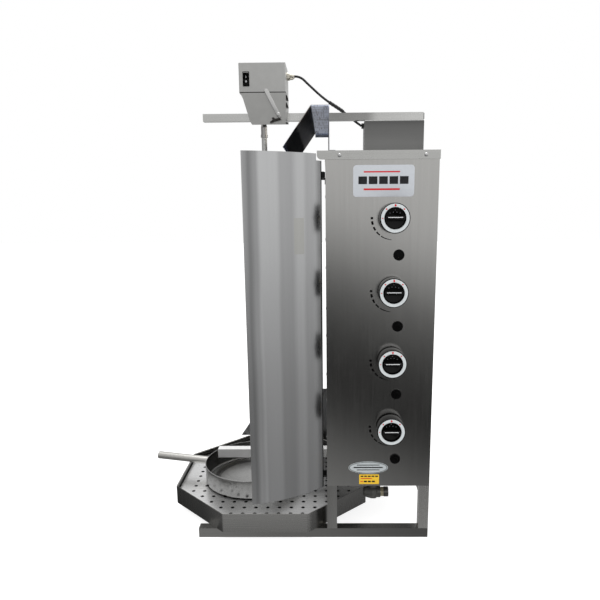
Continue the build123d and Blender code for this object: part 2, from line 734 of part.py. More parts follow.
def cable_gland():
    """Threaded gland on the end of the cover, where the cable comes out."""
    y, z = GLAND_Y, GLAND_Z
    start = MOTOR_RIGHT
    mouth = CABLE_ROUTE[0][0]
    hexagon = extrude(RegularPolygon(10.5, 6), 6)
    gland = Plane(origin=(start, y, z), z_dir=(1, 0, 0)) * hexagon
    gland += rod(9, (start + 6, y, z), (mouth - 4, y, z))
    gland += rod(6, (mouth - 4, y, z), (mouth, y, z))
    gland += rod(6.9, (start - 6, y, z), (start, y, z))
    lock_nut = Plane(origin=(start - 5.2, y, z), z_dir=(1, 0, 0)) * extrude(RegularPolygon(9.5, 6), 4)
    save("cable_gland", gland + lock_nut)


def clamp_lever():
    """Flat lever on the clamp screw that locks the carriage to the arm."""
    x, z = CLAMP
    front = -MOTOR_HALF_DEPTH - GAP
    top = (-112.0, 1123.0)
    plane = Plane(origin=(0, front, 0), x_dir=(1, 0, 0), z_dir=(0, -1, 0))
    length = ((x - top[0]) ** 2 + (z - top[1]) ** 2) ** 0.5
    strip = SlotCenterToCenter(length, 11)
    lean = Vector(x - top[0], z - top[1], 0).get_signed_angle(Vector(1, 0, 0), Vector(0, 0, -1))
    outline = Pos((x + top[0]) / 2, (z + top[1]) / 2) * Rot(0, 0, lean) * strip
    lever = plane * extrude(outline, 3)
    lever += rod(8, (x, front - 7, z), (x, front, z))
    tip = -ARM / 2 - GAP
    lever += rod(4, (x, front, z), (x, tip, z))
    save("clamp_lever", lever)


# ---- skewer -------------------------------------------------------------------------
COUPLING_BOTTOM = 1013.0
COUPLING_TOP = 1048.0
CUP_FLOOR = 130.0


def skewer():
    """Drive coupling and the rod that carries the meat."""
    x, y = SKEWER_X, SKEWER_Y
    shaft = rod(6, (x, y, COUPLING_TOP - 2), (x, y, 1140))
    shaft += cone(8, 6, (x, y, COUPLING_TOP - 9), (x, y, COUPLING_TOP))
    shaft += rod(8, (x, y, COUPLING_BOTTOM), (x, y, COUPLING_TOP - 9))
    shaft += rod(9, (x, y, COUPLING_BOTTOM), (x, y, COUPLING_BOTTOM + 7))
    shaft += rod(2.5, (x, y - 10, COUPLING_TOP - 15), (x, y + 10, COUPLING_TOP - 15))
    shaft -= rod(SKEWER_RADIUS, (x, y, COUPLING_BOTTOM - 1), (x, y, COUPLING_TOP - 17))
    save("drive_coupling", shaft)

    spit = rod(SKEWER_RADIUS, (x, y, 152), (x, y, COUPLING_TOP - 17))
    spit += rod(20, (x, y, 186), (x, y, 190))
    spit += cone(20, 8, (x, y, 186), (x, y, 172))
    spit += rod(5, (x, y, CUP_FLOOR + GAP), (x, y, 153))
    save("skewer_rod", spit)


def lower_carriage():
    """Saddle on the lower arm, with the cup that the skewer turns in."""
    x, y = SKEWER_X, SKEWER_Y
    slack = TUBE / 2 + 0.4
    low = CABINET_BOTTOM - TUBE
    saddle = block((x - 26, x + 26), (-slack - 2.5, slack + 2.5), (low + 1, CABINET_BOTTOM + 3))
    saddle -= block((x - 27, x + 27), (-slack, slack), (low, CABINET_BOTTOM + 0.4))
    saddle += rod(10, (x, y, low + 3), (x, y, 151))
    saddle += block((x - 10, x + 10), (y, -slack - 1), (low + 3, CABINET_BOTTOM))
    saddle -= rod(5 + RUNNING, (x, y, CUP_FLOOR), (x, y, 152))
    save("lower_carriage", saddle)


def motor_cable():
    """Supply cable from the gland to the grommet in the riser."""
    corners = [Vector(*point) for point in CABLE_ROUTE]
    radii = []
    for before, corner, after in zip(corners, corners[1:], corners[2:]):
        shorter = min((corner - before).length, (after - corner).length)
        turn = (corner - before).get_angle(after - corner)
        radii.append(0.45 * shorter / tan(radians(turn) / 2))
    print("cable radii", [round(radius, 1) for radius in radii])
    route = FilletPolyline(*CABLE_ROUTE, radius=radii)
    section = Plane(origin=route @ 0, z_dir=route % 0) * Circle(CABLE_RADIUS)
    cable = sweep(section, path=route)
    expected = pi * CABLE_RADIUS**2 * route.length
    print("cable length", round(route.length, 1), "volume ratio", round(cable.volume / expected, 4))
    save("motor_cable", cable)


# ---- assembly -----------------------------------------------------------------------
base_frame()
control_panel()
far_panel()
rear_panel()
burner_frame()
burners()
gas_train()
cabinet_floor()
lid()
riser()
upper_arm()
heat_deflector()
label_plates()
bezels = []
for index, knob_height in enumerate(reversed(KNOB_HEIGHTS), start=1):
    knob_set(index, knob_height)
    bezels.append(igniter_button(index, knob_height))
save("igniter_bezels", *bezels)
hinge_brackets()
near_shield()
drip_tray()
catch_pan()
motor_bracket()
motor_cover()
gearmotor()
rocker_switch()
cable_gland()
clamp_lever()
skewer()
lower_carriage()
motor_cable()

os.makedirs("parts", exist_ok=True)
for node, shape in parts.items():
    export_step(shape, f"parts/{node}.step")
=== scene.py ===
from math import cos, pi, radians, sin

import bmesh
import bpy
from mathutils import Matrix, Vector


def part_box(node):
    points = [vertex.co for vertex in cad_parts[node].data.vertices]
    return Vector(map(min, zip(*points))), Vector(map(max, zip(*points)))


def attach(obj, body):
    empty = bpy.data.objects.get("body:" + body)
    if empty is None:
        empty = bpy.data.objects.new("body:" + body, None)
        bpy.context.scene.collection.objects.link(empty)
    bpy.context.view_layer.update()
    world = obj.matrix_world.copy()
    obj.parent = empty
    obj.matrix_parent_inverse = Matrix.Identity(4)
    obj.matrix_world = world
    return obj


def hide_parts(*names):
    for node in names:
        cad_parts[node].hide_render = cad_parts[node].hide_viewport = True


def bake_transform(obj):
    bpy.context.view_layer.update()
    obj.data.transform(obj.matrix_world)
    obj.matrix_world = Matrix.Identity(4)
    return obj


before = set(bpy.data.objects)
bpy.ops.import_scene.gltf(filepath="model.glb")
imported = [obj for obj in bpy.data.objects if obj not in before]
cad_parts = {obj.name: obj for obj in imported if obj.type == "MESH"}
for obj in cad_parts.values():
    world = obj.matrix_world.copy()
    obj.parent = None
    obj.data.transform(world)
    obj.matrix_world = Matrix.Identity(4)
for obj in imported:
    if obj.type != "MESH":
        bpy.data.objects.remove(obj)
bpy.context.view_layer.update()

# ---- helpers: meshes ----------------------------------------------------------------


def piece(name, verts, faces, look, body, slot, smooth=True, bevel=0.0):
    """A mesh piece that rides on a body, with an optional small bevel on its edges."""
    mesh = bpy.data.meshes.new(name)
    mesh.from_pydata([tuple(v) for v in verts], [], faces)
    mesh.update()
    obj = bpy.data.objects.new(name, mesh)
    bpy.context.collection.objects.link(obj)
    tidy = bmesh.new()
    tidy.from_mesh(mesh)
    bmesh.ops.recalc_face_normals(tidy, faces=tidy.faces)
    if bevel:
        sharp = [e for e in tidy.edges if e.is_manifold and e.calc_face_angle(0) > 0.6]
        bmesh.ops.bevel(tidy, geom=sharp, offset=bevel, segments=3, profile=0.6, affect="EDGES")
    tidy.to_mesh(mesh)
    tidy.free()
    for face in mesh.polygons:
        face.use_smooth = smooth
    if smooth:
        mesh.set_sharp_from_angle(angle=radians(38))
    mesh.materials.append(look)
    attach(obj, body)
    return obj


def lathe(profile, origin, axis, segments=64, cap=True):
    """Vertices and faces of a turned shape; the profile is (radius, distance along the axis)."""
    axis = Vector(axis).normalized()
    across = axis.orthogonal().normalized()
    other = axis.cross(across)
    verts = []
    faces = []
    for radius, along in profile:
        for step in range(segments):
            turn = 2 * pi * step / segments
            out = across * cos(turn) + other * sin(turn)
            verts.append(Vector(origin) + axis * along + out * radius)
    for ring in range(len(profile) - 1):
        for step in range(segments):
            nxt = (step + 1) % segments
            a = ring * segments
            b = a + segments
            faces.append((a + step, a + nxt, b + nxt, b + step))
    if cap:
        faces.append(tuple(range(segments))[::-1])
        last = (len(profile) - 1) * segments
        faces.append(tuple(range(last, last + segments)))
    return verts, faces


def prism(outline, lift, low, high):
    """Vertices and faces of a flat outline given some thickness. lift turns (u, v, w) into a point."""
    count = len(outline)
    verts = [lift(u, v, low) for u, v in outline] + [lift(u, v, high) for u, v in outline]
    faces = [tuple(range(count))[::-1], tuple(range(count, 2 * count))]
    for step in range(count):
        nxt = (step + 1) % count
        faces.append((step, nxt, nxt + count, step + count))
    return verts, faces


def merge(*shapes):
    """Several (verts, faces) pairs as one."""
    verts = []
    faces = []
    for some_verts, some_faces in shapes:
        base = len(verts)
        verts.extend(some_verts)
        faces.extend(tuple(i + base for i in face) for face in some_faces)
    return verts, faces


def tube(points, radius, sides=16):
    """Vertices and faces of a round tube along points; radius is a number or one for each point."""
    radii = radius if isinstance(radius, list) else [radius] * len(points)
    verts = []
    faces = []
    side = None
    for index, point in enumerate(points):
        ahead = points[min(index + 1, len(points) - 1)]
        behind = points[max(index - 1, 0)]
        along = (ahead - behind).normalized()
        if side is None:
            side = along.orthogonal().normalized()
        side = (side - along * side.dot(along)).normalized()
        up = along.cross(side)
        for step in range(sides):
            turn = 2 * pi * step / sides
            verts.append(point + (side * cos(turn) + up * sin(turn)) * radii[index])
    for ring in range(len(points) - 1):
        for step in range(sides):
            nxt = (step + 1) % sides
            a = ring * sides
            faces.append((a + step, a + nxt, a + sides + nxt, a + sides + step))
    faces.append(tuple(range(sides))[::-1])
    last = (len(points) - 1) * sides
    faces.append(tuple(range(last, last + sides)))
    return verts, faces


def brick(low, high):
    """Vertices and faces of a box between two corners, for small bevelled parts."""
    outline = [(low[0], low[1]), (high[0], low[1]), (high[0], high[1]), (low[0], high[1])]
    return prism(outline, lambda u, v, w: Vector((u, v, w)), low[2], high[2])


def loft(rings):
    """Vertices and faces of a closed form through rings that have the same number of points."""
    count = len(rings[0])
    verts = [point for ring in rings for point in ring]
    faces = [tuple(range(count))[::-1]]
    for level in range(len(rings) - 1):
        for step in range(count):
            nxt = (step + 1) % count
            a = level * count
            faces.append((a + step, a + nxt, a + count + nxt, a + count + step))
    last = (len(rings) - 1) * count
    faces.append(tuple(range(last, last + count)))
    return verts, faces


def centre(node):
    """Middle of a node's box."""
    low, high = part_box(node)
    return (Vector(low) + Vector(high)) / 2


def rounded(low_x, high_x, low_z, high_z, radius, steps=8):
    """Outline of a rectangle with round corners."""
    corners = [
        (high_x - radius, high_z - radius, 0),
        (low_x + radius, high_z - radius, 90),
        (low_x + radius, low_z + radius, 180),
        (high_x - radius, low_z + radius, 270),
    ]
    points = []
    for x, z, start in corners:
        for step in range(steps + 1):
            turn = radians(start + 90 * step / steps)
            points.append((x + radius * cos(turn), z + radius * sin(turn)))
    return points


# ---- helpers: materials -------------------------------------------------------------


class Look:
    """One procedural material around a Principled shader."""

    def __init__(self, name, colour, metallic=0.0, roughness=0.5, **sockets):
        self.material = bpy.data.materials.new(name)
        self.material.use_nodes = True
        self.tree = self.material.node_tree
        self.shader = self.tree.nodes["Principled BSDF"]
        self.colour = (*colour, 1.0)
        self.shader.inputs["Base Color"].default_value = self.colour
        self.shader.inputs["Metallic"].default_value = metallic
        self.shader.inputs["Roughness"].default_value = roughness
        for socket, value in sockets.items():
            self.shader.inputs[socket.replace("_", " ")].default_value = value
        self.place = self.node("ShaderNodeTexCoord").outputs["Object"]
        self.height = None

    def node(self, kind, **settings):
        made = self.tree.nodes.new(kind)
        for name, value in settings.items():
            setattr(made, name, value)
        return made

    def link(self, source, target):
        self.tree.links.new(source, target)

    def put(self, target, value):
        """Link an output or set a constant."""
        if isinstance(value, bpy.types.NodeSocket):
            self.link(value, target)
        else:
            target.default_value = value

    def noise(self, scale, detail=3.0, roughness=0.55, distortion=0.0, offset=(0, 0, 0)):
        """Noise between 0 and 1, with its own scale along each axis, in cycles per metre."""
        mapping = self.node("ShaderNodeMapping")
        self.link(self.place, mapping.inputs["Vector"])
        mapping.inputs["Scale"].default_value = scale
        mapping.inputs["Location"].default_value = offset
        noise = self.node("ShaderNodeTexNoise")
        self.link(mapping.outputs["Vector"], noise.inputs["Vector"])
        noise.inputs["Scale"].default_value = 1.0
        noise.inputs["Detail"].default_value = detail
        noise.inputs["Roughness"].default_value = roughness
        noise.inputs["Distortion"].default_value = distortion
        return noise.outputs["Fac"]

    def spread(self, value, low, high, to_low=0.0, to_high=1.0):
        """Map a range of a value to another range, and clamp it."""
        node = self.node("ShaderNodeMapRange")
        self.put(node.inputs["Value"], value)
        node.inputs["From Min"].default_value = low
        node.inputs["From Max"].default_value = high
        node.inputs["To Min"].default_value = to_low
        node.inputs["To Max"].default_value = to_high
        return node.outputs["Result"]

    def maths(self, operation, a, b=0.0):
        node = self.node("ShaderNodeMath", operation=operation)
        self.put(node.inputs[0], a)
        self.put(node.inputs[1], b)
        return node.outputs[0]

    def blend(self, factor, a, b, mode="MIX"):
        """Mix two colours."""
        node = self.node("ShaderNodeMix", data_type="RGBA", blend_type=mode)
        self.put(node.inputs["Factor"], factor)
        for socket, value in ((node.inputs[6], a), (node.inputs[7], b)):
            if isinstance(value, bpy.types.NodeSocket):
                self.link(value, socket)
            else:
                socket.default_value = (*value[:3], 1.0)
        return node.outputs[2]

    def axis(self, name):
        """One coordinate of the place in the row frame."""
        node = self.node("ShaderNodeSeparateXYZ")
        self.link(self.place, node.inputs[0])
        return node.outputs[name]

    def levels(self, value, stops):
        """Grey levels along a value, with soft steps between them."""
        low = stops[0][0]
        high = stops[-1][0]
        ramp = self.node("ShaderNodeValToRGB")
        ramp.color_ramp.interpolation = "EASE"
        self.link(self.spread(value, low, high), ramp.inputs["Fac"])
        points = ramp.color_ramp.elements
        while len(points) < len(stops):
            points.new(0.5)
        for point, (at, shade) in zip(points, stops):
            point.position = (at - low) / (high - low)
            point.color = (shade, shade, shade, 1)
        return ramp.outputs["Color"]

    def paint(self, colour):
        self.link(colour, self.shader.inputs["Base Color"])

    def gloss(self, value):
        self.link(value, self.shader.inputs["Roughness"])

    def relief(self, height, strength, distance):
        """Add a bump; bumps chain one after another."""
        bump = self.node("ShaderNodeBump")
        bump.inputs["Strength"].default_value = strength
        bump.inputs["Distance"].default_value = distance
        self.link(height, bump.inputs["Height"])
        if self.height is not None:
            self.link(self.height, bump.inputs["Normal"])
        self.height = bump.outputs["Normal"]
        self.link(self.height, self.shader.inputs["Normal"])


GRAIN = {
    "x": (8.0, 1500.0, 1500.0),
    "y": (1500.0, 8.0, 1500.0),
    "z": (1500.0, 1500.0, 8.0),
    "none": (700.0, 700.0, 700.0),
}


def scaled(colour, factor):
    """A colour made lighter or darker."""
    return tuple(min(1.0, channel * factor) for channel in colour)


def steel(name, tint, grain, roughness, streaks=0.02, smudges=0.03, stain=0.0, wave=0.0, shade=None):
    """Stainless steel: fine brushing along an axis, dull smudges, faint streaks and stains.

    shade is a function that paints light and shade, as darker and lighter zones, out of the look's coordinates."""
    look = Look(name, tint, metallic=1.0, roughness=roughness)
    fine = look.noise(GRAIN[grain], detail=2.0)
    coarse_scale = tuple(v / 12 if v > 100 else v / 4 for v in GRAIN[grain])
    coarse = look.noise(coarse_scale, detail=3.0)
    cloud = look.noise((6.0, 6.0, 4.0), detail=3.0, roughness=0.5, distortion=0.3)
    wiped = look.noise((30.0, 30.0, 9.0), detail=4.0, roughness=0.6, distortion=0.8)
    colour = look.blend(
        look.spread(coarse, 0.3, 0.7), scaled(tint, 1 - streaks * 2), scaled(tint, 1 + streaks)
    )
    dull = scaled(tint, 1 - smudges * 2)
    colour = look.blend(look.spread(cloud, 0.5, 0.8, 0.0, 0.6), colour, dull)
    if stain:
        brown = (tint[0] * 0.62, tint[1] * 0.55, tint[2] * 0.45)
        spots = look.noise((60.0, 60.0, 60.0), detail=6.0, roughness=0.75)
        colour = look.blend(look.spread(spots, 0.58, 0.78, 0.0, stain), colour, brown)
    # painted light and shade: the shade function's darker and lighter zones multiply the colour
    if shade:
        colour = look.blend(1.0, colour, shade(look), mode="MULTIPLY")
    look.paint(colour)
    rough = look.spread(fine, 0.2, 0.8, roughness - 0.03, roughness + 0.04)
    patches = look.spread(wiped, 0.45, 0.8, 0.0, smudges)
    look.gloss(look.maths("ADD", rough, patches))
    look.relief(fine, 0.03, 0.00002)
    if wave:
        slow = look.noise((7.0, 7.0, 4.0), detail=1.0)
        look.relief(slow, wave, 0.004)
    return look


def plastic(name, colour, roughness, grain=900.0, bump=0.15, wear=0.15, **sockets):
    """Moulded plastic or rubber: fine texture, dust and slightly worn patches."""
    look = Look(name, colour, roughness=roughness, **sockets)
    pores = look.noise((grain,) * 3, detail=3.0)
    dust = look.noise((45.0, 45.0, 45.0), detail=5.0, roughness=0.7)
    lighter = tuple(min(1.0, channel * 1.5 + 0.012) for channel in colour)
    look.paint(look.blend(look.spread(dust, 0.45, 0.8, 0.0, wear * 3), colour, lighter))
    look.gloss(look.spread(dust, 0.3, 0.7, roughness - 0.06, roughness + 0.08))
    look.relief(pores, bump, 0.0001)
    return look


def casting(name, colour, metallic, roughness):
    """Cast metal: pitted skin, dull paint and rubbed high spots."""
    look = Look(name, colour, metallic=metallic, roughness=roughness)
    pits = look.noise((420.0, 420.0, 420.0), detail=5.0, roughness=0.7)
    rub = look.noise((55.0, 55.0, 55.0), detail=4.0, roughness=0.65)
    bright = tuple(min(1.0, channel * 1.7 + 0.03) for channel in colour)
    look.paint(look.blend(look.spread(rub, 0.5, 0.78, 0.0, 0.75), colour, bright))
    look.gloss(look.spread(rub, 0.3, 0.75, roughness + 0.08, roughness - 0.1))
    look.relief(pits, 0.5, 0.0004)
    return look


def printed(name, colour, roughness=0.4):
    """Printed ink or foil: faint blotches in the ink and a thin clear coat."""
    look = Look(name, colour, roughness=roughness, Specular_IOR_Level=0.3)
    look.shader.inputs["Coat Weight"].default_value = 0.12
    look.shader.inputs["Coat Roughness"].default_value = 0.2
    blot = look.noise((160.0, 160.0, 160.0), detail=4.0)
    pale = tuple(channel * 0.93 + 0.012 for channel in colour)
    look.paint(look.blend(look.spread(blot, 0.35, 0.7, 0.0, 0.7), colour, pale))
    look.gloss(look.spread(blot, 0.3, 0.7, roughness - 0.05, roughness + 0.08))
    return look


# ---- materials ----------------------------------------------------------------------
WARM = (0.66, 0.655, 0.635)
COOL = (0.66, 0.665, 0.67)
HINGE = (0.031, -0.236)
CHORD = (cos(radians(208.5)), sin(radians(208.5)))
TRAY_X = -0.120
TRAY_INSIDE = 0.2629
CROWN_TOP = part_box("heat_deflector")[1][2]


def shield_painted_reflections(look):
    """Painted reflections: upright bands of light and shade across the shield, from its hinge to its free edge, with
    painted shade at the hinge edge and painted light at the free edge, lighter towards the bottom; and a residue patch.
    """
    along_x = look.maths("MULTIPLY", look.maths("SUBTRACT", look.axis("X"), HINGE[0]), CHORD[0])
    along_y = look.maths("MULTIPLY", look.maths("SUBTRACT", look.axis("Y"), HINGE[1]), CHORD[1])
    across = look.maths("ADD", along_x, along_y)
    drift = look.maths("MULTIPLY", look.noise((0.1, 0.1, 2.5), detail=2.0), 0.012)
    moved = look.maths("ADD", across, look.maths("SUBTRACT", drift, 0.006))
    # painted reflections: light and dark upright bands, with painted shade at the hinge edge
    bands = look.levels(
        moved,
        [
            (0.0, 0.03),
            (0.008, 0.05),
            (0.013, 0.55),
            (0.030, 0.84),
            (0.050, 0.80),
            (0.064, 0.98),
            (0.074, 0.96),
            (0.092, 0.76),
            (0.116, 0.78),
            (0.128, 1.0),
            (0.162, 1.0),
            (0.173, 0.66),
            (0.187, 0.46),
            (0.194, 0.62),
            (0.202, 0.78),
        ],
    )
    side = look.spread(look.maths("ABSOLUTE", look.maths("SUBTRACT", across, 0.0720)), 0.0130, 0.0136, 1, 0)
    level = look.spread(look.maths("ABSOLUTE", look.maths("SUBTRACT", look.axis("Z"), 0.770)), 0.040, 0.0405, 1, 0)
    patch = look.maths("MULTIPLY", side, level)
    # painted light: near the free edge the bands are lighter towards the bottom
    lower = look.levels(look.axis("Z"), [(0.06, 1.0), (0.45, 0.72), (0.75, 0.52), (0.95, 0.50)])
    edge = look.spread(across, 0.160, 0.178)
    lit = look.blend(1.0, look.blend(1.0, bands, (2.0, 2.0, 2.0), mode="MULTIPLY"), lower, mode="MULTIPLY")
    bands = look.blend(edge, bands, lit)
    return look.blend(look.maths("MULTIPLY", patch, 0.7), bands, (0.84, 0.83, 0.77))


def tray_shadow(look):
    """Painted shade: much darker inside faces and floor of the tray, darker low down, and darker walls at the outer end
    and on the cabinet side.
    """
    side = look.maths("ABSOLUTE", look.maths("SUBTRACT", look.axis("X"), TRAY_X))
    depth = look.maths("ABSOLUTE", look.axis("Y"))
    slant = look.maths("MULTIPLY", look.maths("ADD", side, depth), 0.70711)
    reach = look.maths("MAXIMUM", look.maths("MAXIMUM", side, depth), slant)
    wall = look.levels(reach, [(0.0, 0.03), (0.25, 0.03), (TRAY_INSIDE, 0.09), (TRAY_INSIDE + 0.0004, 1.0)])
    low = look.spread(look.axis("Z"), 0.026, 0.076, 0.80, 1.08)
    right = look.levels(look.axis("X"), [(-0.39, 0.20), (-0.30, 0.28), (-0.232, 0.50), (-0.226, 0.98), (-0.018, 1.0), (0.0, 0.42), (0.15, 0.36)])
    both = look.blend(1.0, wall, low, mode="MULTIPLY")
    return look.blend(1.0, both, right, mode="MULTIPLY")


def insert_shade(look):
    """Painted light: brighter towards the outer end of the tray."""
    return look.levels(look.axis("X"), [(-0.37, 1.0), (-0.30, 1.0), (-0.20, 0.62), (0.1, 0.55)])


def base_shade(look):
    """Painted shade on the base tubes, darker towards the cabinet."""
    return look.levels(look.axis("X"), [(-0.30, 0.90), (-0.05, 0.70), (0.30, 0.48)])


def post_shade(look):
    """Painted shade on the posts, darker on the burner side."""
    return look.levels(look.axis("X"), [(0.03, 0.55), (0.065, 0.62), (0.25, 0.95), (0.30, 1.0)])


def riser_shade(look):
    """Painted shade: darker towards the top, and slightly darker towards the bottom."""
    return look.levels(look.axis("Z"), [(0.958, 0.86), (1.0, 1.0), (1.030, 0.85), (1.054, 0.62)])


def arm_shade(look):
    """Painted shade on the middle of the upper arm, where the riser's cable passes over it."""
    return look.levels(look.axis("X"), [(-0.29, 0.95), (-0.05, 0.98), (0.06, 0.44), (0.14, 0.50), (0.18, 0.9), (0.30, 1.0)])


def bent_mirror(name):
    """Heat-blued mirror sheet: a lower wing painted near black as painted shade, a brown upper wing, a pale, lined
    crown, and pale streaks low on the near wing that are a painted highlight.
    """
    look = Look(name, (0.3, 0.3, 0.3), metallic=1.0, roughness=0.2)
    look.shader.inputs["Specular Tint"].default_value = (0.03, 0.033, 0.045, 1.0)
    beyond = look.spread(look.axis("X"), 0.004, 0.008)
    below = look.spread(look.axis("Z"), CROWN_TOP - 0.0009, CROWN_TOP - 0.0007, 1.0, 0.0)
    above = look.spread(look.axis("Z"), CROWN_TOP - 0.0050, CROWN_TOP - 0.0046)
    crown = look.maths("MULTIPLY", beyond, look.maths("MULTIPLY", above, below))
    patches = look.noise((30.0, 6.0, 30.0), detail=4.0, roughness=0.65, distortion=0.8)
    border = look.maths("ADD", look.axis("Z"), look.maths("MULTIPLY", patches, 0.012))
    upper = look.spread(border, 1.012, 1.018)
    # painted shade: the lower wing is painted near black
    shaded_low_wing = look.blend(look.spread(patches, 0.45, 0.62), (0.02, 0.021, 0.026), (0.09, 0.09, 0.095))
    high_wing = look.blend(look.spread(patches, 0.40, 0.65), (0.40, 0.38, 0.35), (0.60, 0.57, 0.53))
    wing = look.blend(upper, shaded_low_wing, high_wing)
    along = look.spread(look.noise((520.0, 12.0, 420.0), detail=2.0), 0.54, 0.62)
    across = look.spread(look.noise((14.0, 240.0, 14.0), detail=2.0), 0.54, 0.62)
    lines = look.maths("MULTIPLY", look.maths("MAXIMUM", along, across), 0.75)
    pale = look.blend(lines, (0.78, 0.84, 1.0), (0.06, 0.07, 0.12))
    far_wing = look.blend(look.spread(patches, 0.40, 0.65), (0.34, 0.35, 0.37), (0.44, 0.45, 0.48))
    ground = look.blend(crown, look.blend(beyond, wing, far_wing), pale)
    # painted highlight: pale bluish glint streaks low on the near wing
    edge = look.levels(look.axis("Z"), [(0.957, 1.0), (0.966, 0.8), (0.976, 0.0), (1.06, 0.0)])
    streaks = look.spread(look.noise((260.0, 3.0, 260.0)), 0.52, 0.6)
    near = look.maths("SUBTRACT", 1.0, beyond)
    glint = look.maths("MULTIPLY", look.maths("MULTIPLY", streaks, edge), near)
    look.paint(look.blend(glint, ground, (0.45, 0.52, 0.75)))
    look.link(look.maths("SUBTRACT", 1.0, look.maths("MULTIPLY", crown, 0.85)), look.shader.inputs["Metallic"])
    dull = look.spread(border, 1.012, 1.018, 0.48, 0.30)
    look.gloss(look.maths("ADD", dull, look.maths("MULTIPLY", patches, 0.06)))
    look.relief(look.noise((7.0, 7.0, 4.0), detail=1.0), 0.3, 0.004)
    return look


def pan_shade(look):
    """Painted shade: a darker inside wall and a darker ring on the floor of the pan."""
    side = look.maths("SUBTRACT", look.axis("X"), -0.176)
    depth = look.maths("SUBTRACT", look.axis("Y"), -0.019)
    square = look.maths("ADD", look.maths("MULTIPLY", side, side), look.maths("MULTIPLY", depth, depth))
    reach = look.maths("SQRT", square)
    return look.levels(
        reach,
        [(0.0, 0.72), (0.098, 0.60), (0.104, 0.28), (0.116, 0.36), (0.124, 0.66), (0.134, 0.28), (0.1396, 0.26), (0.1402, 1.0), (0.1412, 1.0)],
    )


def burner_glow_marks(look):
    """Heat tint in the sheet around the burner windows."""
    return look.levels(look.noise((9.0, 3.0, 6.0), detail=3.0), [(0.3, 0.55), (0.5, 0.85), (0.7, 1.0)])


